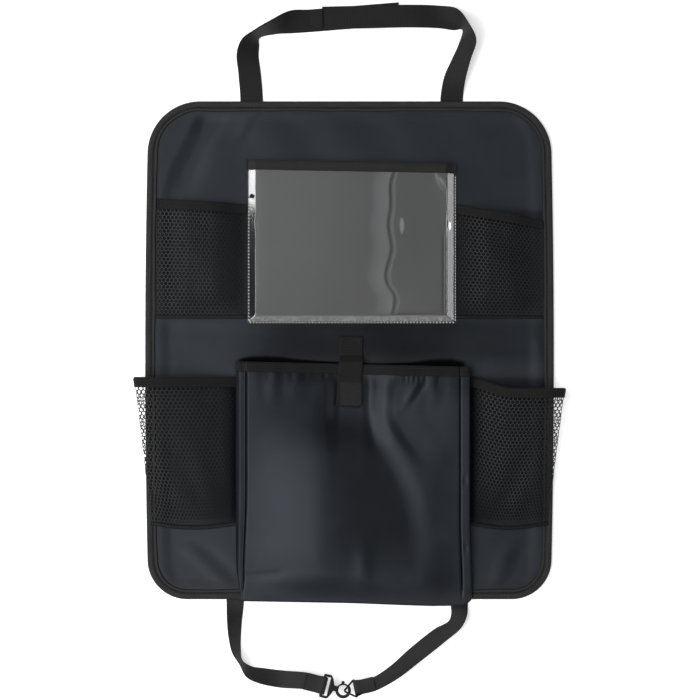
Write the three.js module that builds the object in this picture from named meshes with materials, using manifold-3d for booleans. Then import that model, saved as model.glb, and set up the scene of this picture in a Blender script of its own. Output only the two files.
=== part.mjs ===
// A car seat back organizer, laid flat with its pockets up: a bound cloth panel with a clear
// tablet pocket, four net pockets, a gusseted main pocket, a headrest strap and a lower strap.
// Millimetres. X runs across the panel, Y from the lower strap to the headrest strap, Z out of its front.

import * as THREE from "three";
import { mergeVertices } from "three/addons/utils/BufferGeometryUtils.js";
import Module from "manifold-3d";

const wasm = await Module();
wasm.setup();

const { clamp, degToRad, lerp, radToDeg, smoothstep } = THREE.MathUtils;

// Layers
const SEAM_GAP = 0.3; // between two layers that are sewn or pressed together
const TAPE = 0.6; // binding tape
const CLOTH = 0.8; // cloth of the main pocket
const NET = 0.8; // knitted net
const FILM = 0.5; // clear film
const PATCH = 0.8; // hook tape and loop tape
const WEBBING = 1.2; // strap webbing

// Panel
const PANEL_WIDTH = 450;
const PANEL_HEIGHT = 548;
const PANEL_THICKNESS = 3;
const TOP_CORNER_RADIUS = 58;
const BOTTOM_CORNER_RADIUS = 44;
const SIDE_BOW = 2.5; // how far each long side bellies out
const BINDING_WIDTH = 11;

// Tablet pocket
const WINDOW_WIDTH = 230;
const WINDOW_HEIGHT = 177;
const WINDOW_CENTRE_X = 2;
const WINDOW_CLEARANCE = 14.5; // from the closure strap's anchor to the film's foot
const WINDOW_BULGE = 8;
const WINDOW_RUN = 20; // how far in from a seam the film has lifted fully

// Net pockets
const NET_PITCH = 19.5; // from gap to gap along a row
const NET_ROW = 16.5; // from row to row
const NET_STRAND = 4.4;
const NET_FOOT = 5; // plain strip below the lowest gaps
const NET_HEM = 11;
const UPPER_NET_FOOT_STEP = 5.5; // how far its foot lies above the film's
const UPPER_NET_HEIGHT = 129;
const UPPER_NET_BULGE = 10;
const UPPER_NET_RUN = 28;
const UPPER_NET_RIGHT_SAG = 14; // the right one's hem hangs lower at its outer end
const LOWER_NET_BOTTOM_Y = -192;
const LOWER_NET_HEIGHT = 162;
const LOWER_NET_DEPTH = 24;
const LOWER_NET_FLARE = 12; // how far the mouth stands out past the panel's side
const LOWER_NET_FLARE_FOOT = 66; // height above the foot where the flare begins
const LOWER_NET_FLAT_WIDTH = 118;
const LOWER_NET_FOOT_SAG = 5;
const LOWER_NET_RIGHT_SAG = 12; // the right one's hem hangs lower past its inner end
const LOWER_NET_TUCK = 2; // how far its inner seam lies under the main pocket's gusset

// Main pocket
const MAIN_FRONT_WIDTH = 234;
const GUSSET_SPREAD = 11; // how far each gusset's fold stands out past the front's corner
const MAIN_HEIGHT = 261;
const MAIN_CENTRE_X = 4;
const MAIN_OVERHANG = 3; // how far its foot hangs below the panel's edge
const MAIN_DEPTH = 12;
const MAIN_FOLDED_STACK = 2.6; // depth of the gusset where the foot seam closes it
const MAIN_CROWN = 4;
const MAIN_GUSSET_TUCK = 12; // how far the gusset's seam lies in from its fold
const MAIN_MOUTH_DIP = 0.68; // share of the depth that the closure strap pulls down
const GATHERS = 8;
const GATHER_HEIGHT = 1.2;
const GATHER_RUN = 55;

// Closure strap over the main pocket's mouth
const CLOSURE_X = 1.5;
const CLOSURE_WIDTH = 26;
const CLOSURE_ANCHOR_RISE = 31; // from the main pocket's mouth to the anchor's top edge
const CLOSURE_ANCHOR_LENGTH = 21;
const CLOSURE_TAIL_LENGTH = 46;
const CLOSURE_PATCH_LENGTH = 26;
const PATCH_MARGIN = 1.5; // from a patch's edge to its strap's edge

// Headrest strap
const HEADREST_STRAP_WIDTH = 25;
const HEADREST_SPAN = 220; // between the middles of its two ends at the panel
const HEADREST_RISE = 100; // how far it reaches above the panel, less half its lap's width
const HEADREST_PATCH_LENGTH = 92;

// Lower strap, its hook and its ring
const LOWER_STRAP_WIDTH = 19;
const LOWER_STRAP_SPAN = 247; // between the middles of its two ends at the panel
const LOWER_STRAP_DROP = 95; // from the panel's foot to the middle of the link
const FOLD_TAIL = 20; // webbing sewn back on itself past the bar
const HOOK_THICKNESS = 2.8;
const HOOK_BAR = 3.4;
const HOOK_SLOT = 4.8;
const HOOK_WALL = 2.6;
const HOOK_NECK_LENGTH = 5;
const HOOK_NECK_WIDTH = 6;
const HOOK_OUTER_RADIUS = 8.6;
const HOOK_INNER_RADIUS = 5.3;
const TONGUE_WIDTH = 1.8;
const TONGUE_SIDE_GAP = 0.4; // how much thinner the tongue is on each face
const THUMB_RADIUS = 1.9;
const HOOK_TURN_DEG = -14;
const RING_WIRE_RADIUS = 1.1;
const RING_LENGTH = 13;
const RING_APEX_HALF = 2.4;
const RING_SHOULDER = 2;
const RING_TURN_DEG = 14;
const RING_TILT_DEG = -50;
const RING_SLACK = 2.1; // between the ring's narrow end and the hook's bend

const clothMaterial = new THREE.MeshStandardMaterial({ color: 0x2e3136, roughness: 0.78, metalness: 0 });
const tapeMaterial = new THREE.MeshStandardMaterial({ color: 0x2a2b2d, roughness: 0.9, metalness: 0 });
const netMaterial = new THREE.MeshStandardMaterial({ color: 0x222428, roughness: 0.7, metalness: 0 });
const webbingMaterial = new THREE.MeshStandardMaterial({ color: 0x26272b, roughness: 0.75, metalness: 0 });
const patchMaterial = new THREE.MeshStandardMaterial({ color: 0x1c1d20, roughness: 0.95, metalness: 0 });
const plasticMaterial = new THREE.MeshStandardMaterial({ color: 0x1b1c1e, roughness: 0.4, metalness: 0 });
const filmMaterial = new THREE.MeshStandardMaterial({
  color: 0xe6e9ec,
  roughness: 0.08,
  metalness: 0,
  transparent: true,
  opacity: 0.3,
});

// Places worked out from the sizes
const STRAP_CHANNEL = WEBBING + SEAM_GAP; // room for a strap's end below the binding
const RIM_LOW = STRAP_CHANNEL + TAPE + SEAM_GAP; // underside of the panel's squeezed rim
const BINDING_TOP = PANEL_THICKNESS + SEAM_GAP + TAPE;
const HALF_HEIGHT = PANEL_HEIGHT / 2;
const MAIN_WIDTH = MAIN_FRONT_WIDTH + 2 * GUSSET_SPREAD; // over the folded gussets
const SIDE_HALF_WIDTH = PANEL_WIDTH / 2 - SIDE_BOW; // where a side meets its corners
const SIDE_LOW_Y = -HALF_HEIGHT + BOTTOM_CORNER_RADIUS;
const SIDE_HIGH_Y = HALF_HEIGHT - TOP_CORNER_RADIUS;
const STRAP_ROOT_Y = HALF_HEIGHT - BINDING_WIDTH;
const MAIN_BOTTOM_Y = -HALF_HEIGHT - MAIN_OVERHANG;
const CLOSURE_ANCHOR_TOP_Y = MAIN_BOTTOM_Y + MAIN_HEIGHT + CLOSURE_ANCHOR_RISE;
const WINDOW_BOTTOM_Y = CLOSURE_ANCHOR_TOP_Y + WINDOW_CLEARANCE;
const UPPER_NET_BOTTOM_Y = WINDOW_BOTTOM_Y + UPPER_NET_FOOT_STEP;
const HEM_LIFT = TAPE + SEAM_GAP; // what a hem's back leg adds under a sheet
const UP = new THREE.Vector3(0, 0, 1);

// Solids and cuts

function solidOf(geometry) {
  const plain = geometry.clone();
  plain.deleteAttribute("normal");
  plain.deleteAttribute("uv");
  const merged = mergeVertices(plain, 1e-3);
  return new wasm.Manifold(
    new wasm.Mesh({
      numProp: 3,
      vertProperties: merged.attributes.position.array,
      triVerts: new Uint32Array(merged.index.array),
    }),
  );
}

function geometryOf(solid) {
  const mesh = solid.getMesh();
  const indexed = new THREE.BufferGeometry()
    .setAttribute("position", new THREE.BufferAttribute(mesh.vertProperties, mesh.numProp))
    .setIndex(new THREE.BufferAttribute(mesh.triVerts, 1));
  const geometry = indexed.toNonIndexed();
  geometry.computeVertexNormals();
  return geometry;
}

// A flat shape with its faces at the two heights.
function plate(shape, low, high, curveSegments = 7) {
  const settings = { depth: high - low, bevelEnabled: false, curveSegments };
  return new THREE.ExtrudeGeometry(shape, settings).translate(0, 0, low);
}

// A closed skin over rings that run anticlockwise about the way they are carried. The diagonals of its
// four-sided faces all lean the same way, so that layers stay apart when they are bent together.
function skin(rings, capTriangles) {
  const count = rings[0].length;
  const index = [];
  for (let k = 0; k < rings.length - 1; k++) {
    for (let i = 0; i < count; i++) {
      const j = (i + 1) % count;
      const here = k * count;
      const next = here + count;
      const falling = rings[k][j].y < rings[k][i].y;
      if (falling) index.push(here + i, here + j, next + i, here + j, next + j, next + i);
      else index.push(here + i, here + j, next + j, here + i, next + j, next + i);
    }
  }
  const last = (rings.length - 1) * count;
  for (const [p, q, r] of capTriangles) {
    index.push(r, q, p, last + p, last + q, last + r);
  }
  const geometry = new THREE.BufferGeometry().setFromPoints(rings.flat()).setIndex(index).toNonIndexed();
  geometry.computeVertexNormals();
  return geometry;
}

// Evenly spaced lengths from one to another.
function steps(from, to, count) {
  return Array.from({ length: count + 1 }, (_, i) => lerp(from, to, i / count));
}

// Flat goods are laid out in lengths a across, b up and w out of the cloth, then bent onto a surface.

// A section in b and w, anticlockwise, carried across the lengths a.
function sectionRun(section, across) {
  const rings = across.map((a) => section.map(([b, w]) => new THREE.Vector3(a, b, w)));
  const flat = section.map(([b, w]) => new THREE.Vector2(b, w));
  return skin(rings, THREE.ShapeUtils.triangulateShape(flat, []));
}

// A sheet over a grid of lengths, from w to w plus its thickness.
function sheet(across, up, w, thickness) {
  const lower = up.map((b) => [b, w]);
  const upper = up.map((b) => [b, w + thickness]).reverse();
  const rings = across.map((a) => [...lower, ...upper].map(([b, height]) => new THREE.Vector3(a, b, height)));
  const count = 2 * up.length;
  const caps = up.slice(1).flatMap((_, i) => [
    [i, i + 1, count - 2 - i],
    [i, count - 2 - i, count - 1 - i],
  ]);
  return skin(rings, caps);
}

function normalAt(surface, a, b) {
  const reach = 0.5;
  const across = surface(a + reach, b).sub(surface(a - reach, b));
  const up = surface(a, b + reach).sub(surface(a, b - reach));
  return across.cross(up).normalize();
}

function bendOnto(geometry, surface) {
  const position = geometry.attributes.position;
  for (let i = 0; i < position.count; i++) {
    const [a, b, w] = [position.getX(i), position.getY(i), position.getZ(i)];
    const point = surface(a, b).addScaledVector(normalAt(surface, a, b), w);
    position.setXYZ(i, point.x, point.y, point.z);
  }
  geometry.computeVertexNormals();
  return geometry;
}

// A tape folded over a sheet's top edge, as a section in b and w.
function hemSection(height, thickness, depth) {
  const fold = height + SEAM_GAP;
  const front = thickness + SEAM_GAP;
  return [
    [height - depth, -SEAM_GAP - TAPE],
    [fold + TAPE, -SEAM_GAP - TAPE],
    [fold + TAPE, front + TAPE],
    [height - depth, front + TAPE],
    [height - depth, front],
    [fold, front],
    [fold, -SEAM_GAP],
    [height - depth, -SEAM_GAP],
  ];
}

// A flat layout of triangles made solid, from w = 0 to the thickness.
function thickened(points, triangles, thickness) {
  const count = points.length;
  const index = [];
  const rim = new Map();
  for (const [p, q, r] of triangles) {
    index.push(p + count, q + count, r + count, r, q, p);
    const edges = [
      [p, q],
      [q, r],
      [r, p],
    ];
    for (const [from, to] of edges) {
      if (!rim.delete(`${to} ${from}`)) rim.set(`${from} ${to}`, [from, to]);
    }
  }
  for (const [from, to] of rim.values()) {
    index.push(from, to, to + count, from, to + count, from + count);
  }
  const layers = [0, thickness].flatMap((w) => points.map(([a, b]) => new THREE.Vector3(a, b, w)));
  const geometry = new THREE.BufferGeometry().setFromPoints(layers).setIndex(index).toNonIndexed();
  geometry.computeVertexNormals();
  return geometry;
}

// The lengths across a net where its strands meet, two to each gap.
function netStations(width) {
  return steps(0, width, 2 * Math.round(width / NET_PITCH));
}

// A knitted net: staggered rows of six-sided gaps between a plain foot and a plain strip in the hem.
function netSheet(width, height) {
  const across = netStations(width);
  const columns = across.length;
  const rows = Math.round((height - NET_FOOT - NET_HEM) / NET_ROW);
  const up = [0, ...steps(NET_FOOT, height - NET_HEM, rows), height];
  const points = up.flatMap((b) => across.map((a) => [a, b]));
  const triangles = [];
  const fill = (row, column) => {
    const p = row * columns + column;
    triangles.push([p, p + 1, p + columns + 1], [p, p + columns + 1, p + columns]);
  };
  const pierce = (row, column) => {
    const p = row * columns + column;
    const border = [p, p + 1, p + 2, p + columns + 2, p + columns + 1, p + columns];
    const centre = [across[column + 1], (up[row] + up[row + 1]) / 2];
    const halfWidth = across[1] - NET_STRAND / 2;
    const tip = (up[row + 1] - up[row]) / 2 - NET_STRAND / 4;
    const shoulder = tip - NET_STRAND / 1.6;
    const corners = [
      [-halfWidth, -shoulder],
      [0, -tip],
      [halfWidth, -shoulder],
      [halfWidth, shoulder],
      [0, tip],
      [-halfWidth, shoulder],
    ];
    const first = points.length;
    points.push(...corners.map(([a, b]) => [centre[0] + a, centre[1] + b]));
    for (let i = 0; i < 6; i++) {
      const j = (i + 1) % 6;
      triangles.push([border[i], border[j], first + j], [border[i], first + j, first + i]);
    }
  };
  for (let row = 0; row <= rows + 1; row++) {
    const plain = row === 0 || row === rows + 1;
    const odd = row % 2;
    for (let column = 0; column < columns - 1; column++) {
      const lone = odd && (column === 0 || column === columns - 2);
      if (plain || lone) fill(row, column);
      else if ((column + odd) % 2 === 0) pierce(row, column);
    }
  }
  return thickened(points, triangles, NET);
}

// Panel and binding

// The panel's outline moved in by a distance, with round corners and sides that bow out.
function panelOutline(inset) {
  const x = SIDE_HALF_WIDTH - inset;
  const y = HALF_HEIGHT - inset;
  const low = BOTTOM_CORNER_RADIUS - inset;
  const high = TOP_CORNER_RADIUS - inset;
  const middle = (SIDE_LOW_Y + SIDE_HIGH_Y) / 2;
  const quarter = Math.PI / 2;
  const shape = new THREE.Shape();
  shape.moveTo(low - x, -y);
  shape.lineTo(x - low, -y);
  shape.absarc(x - low, low - y, low, -quarter, 0);
  shape.quadraticCurveTo(x + 2 * SIDE_BOW, middle, x, y - high);
  shape.absarc(x - high, y - high, high, 0, quarter);
  shape.lineTo(high - x, y);
  shape.absarc(high - x, y - high, high, quarter, 2 * quarter);
  shape.quadraticCurveTo(-x - 2 * SIDE_BOW, middle, -x, low - y);
  shape.absarc(low - x, low - y, low, 2 * quarter, 3 * quarter);
  return shape;
}

// Distance from the middle of the panel to its side, at a height between the corners.
function sideAt(y) {
  const share = (y - SIDE_LOW_Y) / (SIDE_HIGH_Y - SIDE_LOW_Y);
  return SIDE_HALF_WIDTH + 4 * SIDE_BOW * share * (1 - share);
}

// The panel is full thickness inside the binding and squeezed to a thin rim within it.
function backPanel() {
  const field = solidOf(plate(panelOutline(BINDING_WIDTH + SEAM_GAP), 0, PANEL_THICKNESS));
  const rim = solidOf(plate(panelOutline(TAPE + SEAM_GAP), RIM_LOW, PANEL_THICKNESS));
  return geometryOf(field.add(rim));
}

// One tape folded round the panel's edge: a strip with a slot for the rim.
function edgeBinding() {
  const strip = solidOf(plate(panelOutline(0), STRAP_CHANNEL, BINDING_TOP));
  const field = solidOf(plate(panelOutline(BINDING_WIDTH), 0, 2 * BINDING_TOP));
  const slot = solidOf(plate(panelOutline(TAPE), STRAP_CHANNEL + TAPE, PANEL_THICKNESS + SEAM_GAP));
  return geometryOf(strip.subtract(field).subtract(slot));
}

// Pockets that lie close to the panel

// Height of a sewn sheet over the panel, raised near its mouth for the hem's back leg.
function seat(b, height, hem) {
  return PANEL_THICKNESS + SEAM_GAP + HEM_LIFT * smoothstep(b, height - 2.5 * hem, height - hem);
}

function windowSurface(a, b) {
  const side = smoothstep(Math.min(a, WINDOW_WIDTH - a), 0, WINDOW_RUN);
  const foot = smoothstep(b, 0, WINDOW_RUN);
  const x = WINDOW_CENTRE_X - WINDOW_WIDTH / 2 + a;
  const z = seat(b, WINDOW_HEIGHT, BINDING_WIDTH) + WINDOW_BULGE * side * foot;
  return new THREE.Vector3(x, WINDOW_BOTTOM_Y + b, z);
}

const windowAcross = [
  ...steps(0, WINDOW_RUN, 3),
  ...steps(WINDOW_RUN, WINDOW_WIDTH - WINDOW_RUN, 4).slice(1),
  ...steps(WINDOW_WIDTH - WINDOW_RUN, WINDOW_WIDTH, 3).slice(1),
];

function windowFilm() {
  const up = [
    ...steps(0, WINDOW_RUN, 3),
    ...steps(WINDOW_RUN, WINDOW_HEIGHT - 2.5 * BINDING_WIDTH, 3).slice(1),
    WINDOW_HEIGHT - BINDING_WIDTH,
    WINDOW_HEIGHT,
  ];
  return bendOnto(sheet(windowAcross, up, 0, FILM), windowSurface);
}

function windowBinding() {
  return bendOnto(sectionRun(hemSection(WINDOW_HEIGHT, FILM, BINDING_WIDTH), windowAcross), windowSurface);
}

// An upper net runs from the clear film to the binding's inner edge. side is -1 on the left.
function upperNet(side) {
  const windowEdge = side * WINDOW_CENTRE_X + WINDOW_WIDTH / 2 + 2 * SEAM_GAP;
  const sag = side > 0 ? UPPER_NET_RIGHT_SAG : 0;
  const width = sideAt(UPPER_NET_BOTTOM_Y) - BINDING_WIDTH - 2 * SEAM_GAP - windowEdge;
  const surface = (a, b) => {
    const share = side < 0 ? 1 - a / width : a / width;
    const y = UPPER_NET_BOTTOM_Y + b * (1 - (sag * share) / UPPER_NET_HEIGHT);
    const outer = sideAt(y) - BINDING_WIDTH - 2 * SEAM_GAP;
    const lift = smoothstep(Math.min(a, width - a), 0, UPPER_NET_RUN) * smoothstep(b, 0, UPPER_NET_RUN);
    const z = seat(b, UPPER_NET_HEIGHT, NET_HEM) + UPPER_NET_BULGE * lift;
    return new THREE.Vector3(side * lerp(windowEdge, outer, share), y, z);
  };
  return { width, surface };
}

function upperNetSheet(side) {
  const { width, surface } = upperNet(side);
  return bendOnto(netSheet(width, UPPER_NET_HEIGHT), surface);
}

function upperNetHem(side) {
  const { width, surface } = upperNet(side);
  return bendOnto(sectionRun(hemSection(UPPER_NET_HEIGHT, NET, NET_HEM), netStations(width)), surface);
}

// Lower net pockets, whose mouths stand open past the panel's sides

// Where the gusset's fold of the main pocket lies, as a distance out to that side.
function mainFold(side) {
  return MAIN_WIDTH / 2 + side * MAIN_CENTRE_X;
}

function lowerNetSurface(side) {
  const rightSag = side > 0 ? LOWER_NET_RIGHT_SAG : 0;
  return (a, b) => {
    const share = clamp(a / LOWER_NET_FLAT_WIDTH, 0, 1);
    const t = side < 0 ? share : 1 - share; // 0 at the panel's side
    const open = b / LOWER_NET_HEIGHT;
    const footSag = LOWER_NET_FOOT_SAG * Math.sin(Math.PI * t) * (1 - open);
    const mouthSag = rightSag * smoothstep(1 - t, 0, 0.4) * open;
    const y = LOWER_NET_BOTTOM_Y + b - footSag - mouthSag;
    const depth = LOWER_NET_DEPTH * (0.35 * smoothstep(b, 0, 40) + 0.65 * open);
    const aboveFoot = Math.max(0, b - LOWER_NET_FLARE_FOOT) / (LOWER_NET_HEIGHT - LOWER_NET_FLARE_FOOT);
    const flare = LOWER_NET_FLARE * aboveFoot;
    const lift = HEM_LIFT * smoothstep(b, LOWER_NET_HEIGHT - 2.5 * NET_HEM, LOWER_NET_HEIGHT - NET_HEM);
    const outer = new THREE.Vector2(sideAt(y) - BINDING_WIDTH / 2, BINDING_TOP + SEAM_GAP + NET + lift);
    const inner = new THREE.Vector2(mainFold(side) - LOWER_NET_TUCK, PANEL_THICKNESS + SEAM_GAP + lift);
    const section = new THREE.CubicBezierCurve(
      outer,
      new THREE.Vector2(outer.x + 3.9 * flare - 4, outer.y + 0.5 * depth),
      new THREE.Vector2(outer.x - 6, outer.y + 1.25 * depth),
      inner,
    );
    section.arcLengthDivisions = 24;
    const point = section.getPointAt(t);
    return new THREE.Vector3(side * point.x, y, point.y);
  };
}

function lowerNetSheet(side) {
  return bendOnto(netSheet(LOWER_NET_FLAT_WIDTH, LOWER_NET_HEIGHT), lowerNetSurface(side));
}

function lowerNetHem(side) {
  const run = sectionRun(hemSection(LOWER_NET_HEIGHT, NET, NET_HEM), netStations(LOWER_NET_FLAT_WIDTH));
  return bendOnto(run, lowerNetSurface(side));
}

// Main pocket: one cloth with a front, a folded gusset down each side and gathers below its binding

const GUSSET_LEG = MAIN_GUSSET_TUCK + 2;
const GUSSET_RISE = (MAIN_WIDTH - MAIN_FRONT_WIDTH) / 2 + 2;
const MAIN_FLAT_WIDTH = MAIN_FRONT_WIDTH + 2 * (GUSSET_LEG + GUSSET_RISE);

// Height of the gusset's seam, which clears the panel's binding at the foot and the hem at the mouth.
function mainSeat(b) {
  const plain = PANEL_THICKNESS + SEAM_GAP + CLOTH;
  const overBinding = BINDING_TOP + SEAM_GAP + CLOTH;
  const underHem = plain + HEM_LIFT;
  const foot = lerp(overBinding, plain, smoothstep(b, BINDING_WIDTH + MAIN_OVERHANG + 4, 40));
  return lerp(foot, underHem, smoothstep(b, MAIN_HEIGHT - 2.5 * BINDING_WIDTH, MAIN_HEIGHT - BINDING_WIDTH));
}

function mainDepth(b) {
  return lerp(MAIN_FOLDED_STACK, MAIN_DEPTH, smoothstep(b, 0, 75));
}

// Height of the front over the gusset's seam, at a distance x from the pocket's middle.
function mainFront(x, b) {
  const across = Math.cos((Math.PI * x) / MAIN_FRONT_WIDTH);
  const fromStrap = Math.abs(x + MAIN_CENTRE_X - CLOSURE_X) - CLOSURE_WIDTH / 2;
  const free = smoothstep(fromStrap, 4, 60);
  const nearMouth = smoothstep(b, MAIN_HEIGHT - 2.2 * CLOSURE_TAIL_LENGTH, MAIN_HEIGHT - CLOSURE_TAIL_LENGTH);
  const dip = 1 - MAIN_MOUTH_DIP * nearMouth * (1 - free);
  const gathered = smoothstep(b, MAIN_HEIGHT - GATHER_RUN, MAIN_HEIGHT - 1.5 * BINDING_WIDTH);
  const ripple = Math.cos((2 * Math.PI * GATHERS * x) / MAIN_FRONT_WIDTH) * smoothstep(fromStrap, 4, 20);
  const edge = smoothstep(MAIN_FRONT_WIDTH / 2 - Math.abs(x), 2, 20);
  const crown = MAIN_CROWN * across * smoothstep(b, 0, 110);
  return (mainDepth(b) + crown) * dip + GATHER_HEIGHT * ripple * gathered * edge;
}

function mainSurface(a, b) {
  const half = MAIN_FLAT_WIDTH / 2;
  const x = a - half;
  const side = Math.sign(x) || 1;
  const fromFront = Math.abs(x) - MAIN_FRONT_WIDTH / 2;
  const fold = MAIN_WIDTH / 2;
  let out = Math.abs(x);
  let height = 0;
  if (fromFront <= 0) {
    height = mainFront(x, b);
  } else if (fromFront <= GUSSET_RISE) {
    const t = fromFront / GUSSET_RISE;
    out = lerp(MAIN_FRONT_WIDTH / 2, fold, t);
    height = mainDepth(b) * lerp(1, 0.5, t);
  } else {
    const t = (fromFront - GUSSET_RISE) / GUSSET_LEG;
    out = lerp(fold, fold - MAIN_GUSSET_TUCK, t);
    height = mainDepth(b) * lerp(0.5, 0, t);
  }
  return new THREE.Vector3(MAIN_CENTRE_X + side * out, MAIN_BOTTOM_Y + b, mainSeat(b) + height);
}

const mainAcross = [
  0,
  GUSSET_LEG / 2,
  GUSSET_LEG,
  GUSSET_LEG + GUSSET_RISE / 2,
  ...steps(GUSSET_LEG + GUSSET_RISE, MAIN_FLAT_WIDTH - GUSSET_LEG - GUSSET_RISE, 4 * GATHERS),
  MAIN_FLAT_WIDTH - GUSSET_LEG - GUSSET_RISE / 2,
  MAIN_FLAT_WIDTH - GUSSET_LEG,
  MAIN_FLAT_WIDTH - GUSSET_LEG / 2,
  MAIN_FLAT_WIDTH,
];

function mainPocket() {
  const up = [
    ...steps(0, 80, 4),
    ...steps(80, MAIN_HEIGHT - GATHER_RUN, 3).slice(1),
    ...steps(MAIN_HEIGHT - GATHER_RUN, MAIN_HEIGHT - BINDING_WIDTH, 4).slice(1),
    MAIN_HEIGHT,
  ];
  return bendOnto(sheet(mainAcross, up, 0, CLOTH), mainSurface);
}

function mainPocketBinding() {
  return bendOnto(sectionRun(hemSection(MAIN_HEIGHT, CLOTH, BINDING_WIDTH), mainAcross), mainSurface);
}

// Closure strap: sewn to the panel above the mouth, held to the pocket's front by hook and loop tape

// A place over the pocket's front on the strap's middle line, at a height b and a distance w from the cloth.
function overMain(b, w) {
  const a = CLOSURE_X - MAIN_CENTRE_X + MAIN_FLAT_WIDTH / 2;
  return mainSurface(a, b).addScaledVector(normalAt(mainSurface, a, b), w);
}

function closureStrap() {
  const overHem = CLOTH + 2 * SEAM_GAP + TAPE + SEAM_GAP + WEBBING / 2;
  const overPatches = CLOTH + 3 * SEAM_GAP + 2 * PATCH + WEBBING / 2;
  const onPanel = PANEL_THICKNESS + SEAM_GAP + WEBBING / 2;
  const anchorFoot = CLOSURE_ANCHOR_TOP_Y - CLOSURE_ANCHOR_LENGTH;
  const centres = [
    new THREE.Vector3(CLOSURE_X, CLOSURE_ANCHOR_TOP_Y, onPanel),
    new THREE.Vector3(CLOSURE_X, anchorFoot + 1.5, onPanel),
    new THREE.Vector3(CLOSURE_X, anchorFoot, onPanel),
    overMain(MAIN_HEIGHT + 3.5, overHem),
    overMain(MAIN_HEIGHT - 2, overHem),
    overMain(MAIN_HEIGHT - BINDING_WIDTH, overHem),
    overMain(MAIN_HEIGHT - BINDING_WIDTH - 4, overPatches),
    overMain(MAIN_HEIGHT - CLOSURE_TAIL_LENGTH / 2, overPatches),
    overMain(MAIN_HEIGHT - CLOSURE_TAIL_LENGTH, overPatches),
  ];
  const across = new THREE.Vector3(-1, 0, 0);
  const stations = centres.map((centre) => ({ centre, across }));
  return band(stations, CLOSURE_WIDTH, 3);
}

// A patch between the strap and the pocket's front, from a distance w out from the cloth.
function closurePatch(w) {
  const middle = CLOSURE_X - MAIN_CENTRE_X + MAIN_FLAT_WIDTH / 2;
  const half = CLOSURE_WIDTH / 2 - PATCH_MARGIN;
  const foot = MAIN_HEIGHT - CLOSURE_TAIL_LENGTH + PATCH_MARGIN;
  const up = steps(foot, foot + CLOSURE_PATCH_LENGTH, 3);
  return bendOnto(sheet(steps(middle - half, middle + half, 4), up, w, PATCH), mainSurface);
}

// Webbing

// A flat band through stations that each give its centre and the unit vector across it.
function band(stations, width, stepsPerStation = 4) {
  const edge = (side) => {
    const points = stations.map(({ centre, across }) => centre.clone().addScaledVector(across, (side * width) / 2));
    return new THREE.CatmullRomCurve3(points, false, "centripetal");
  };
  const [left, right] = [edge(-1), edge(1)];
  const count = (stations.length - 1) * stepsPerStation;
  const middle = (t) => left.getPoint(t).add(right.getPoint(t)).multiplyScalar(0.5);
  const rings = steps(0, 1, count).map((t) => {
    const [l, r] = [left.getPoint(t), right.getPoint(t)];
    const reach = 0.02 / stations.length;
    const travel = middle(Math.min(1, t + reach)).sub(middle(Math.max(0, t - reach)));
    const out = r.clone().sub(l).cross(travel).normalize().multiplyScalar(WEBBING / 2);
    const corners = [l.clone().sub(out), l.clone().add(out), r.clone().add(out), r.clone().sub(out)];
    corners.forEach((corner) => corner.setZ(Math.max(0, corner.z))); // nothing sinks into the ground
    return corners;
  });
  return skin(rings, [
    [0, 1, 2],
    [0, 2, 3],
  ]);
}

// A place on a strap. acrossDeg is the way across it, seen from above, and tiltDeg how far that side stands up.
// Without a height the lower edge rests on the ground.
function place(x, y, acrossDeg, tiltDeg, width, height) {
  const [turn, tilt] = [degToRad(acrossDeg), degToRad(tiltDeg)];
  const across = new THREE.Vector3(
    Math.cos(turn) * Math.cos(tilt),
    Math.sin(turn) * Math.cos(tilt),
    Math.sin(tilt),
  );
  const rest = (Math.abs(Math.sin(tilt)) * width + Math.cos(tilt) * WEBBING) / 2;
  return { centre: new THREE.Vector3(x, y, height ?? rest), across };
}

// The end of a strap, wrapped round a bar and sewn back on itself. ahead is the way the strap arrives.
function wrapRound(bar, across, ahead, radius) {
  const out = across.clone().cross(ahead).normalize();
  const at = (forward, up) => ({
    centre: bar.clone().addScaledVector(ahead, forward).addScaledVector(out, up),
    across: across.clone(),
  });
  const layer = (WEBBING + SEAM_GAP) / 2;
  return [
    at(-FOLD_TAIL, -layer),
    at(-radius * 2.2, -layer * 1.4),
    at(-radius * 0.8, -radius * 0.9),
    at(0, -radius),
    at(radius * 0.72, -radius * 0.72),
    at(radius, 0),
    at(radius * 0.72, radius * 0.72),
    at(0, radius),
    at(-radius * 0.8, radius * 0.9),
    at(-radius * 2.2, layer * 1.4),
    at(-FOLD_TAIL, layer),
  ];
}

// Headrest strap: two bands that press together over their hook and loop patches.
// A point of it: a share of its span, and a share of its rise above the panel, or null for its sewn end.
function headrestPoint(share, rise) {
  const y = rise === null ? STRAP_ROOT_Y : HALF_HEIGHT + HEADREST_RISE * rise;
  return new THREE.Vector2(HEADREST_SPAN * share, y);
}

function onHeadrest(share, rise, acrossDeg, tiltDeg, width, height) {
  const { x, y } = headrestPoint(share, rise);
  return place(x, y, acrossDeg, tiltDeg, width, height);
}

const LAPPED_HEIGHT = WEBBING + 2 * PATCH + 3 * SEAM_GAP + WEBBING / 2; // centre of the upper band on the lap
const LAP_LEFT = headrestPoint(-0.2, 0.89);
const LAP_RIGHT = headrestPoint(0.25, 0.97);
const LAP_TURN = Math.atan2(LAP_RIGHT.y - LAP_LEFT.y, LAP_RIGHT.x - LAP_LEFT.x);
const UPPER_BAND_BEND = headrestPoint(0.295, 0.936);
const UPPER_BAND_END = headrestPoint(-0.136, 0.915);
const UPPER_BAND_TURN = Math.atan2(UPPER_BAND_BEND.y - UPPER_BAND_END.y, UPPER_BAND_BEND.x - UPPER_BAND_END.x);

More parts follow.
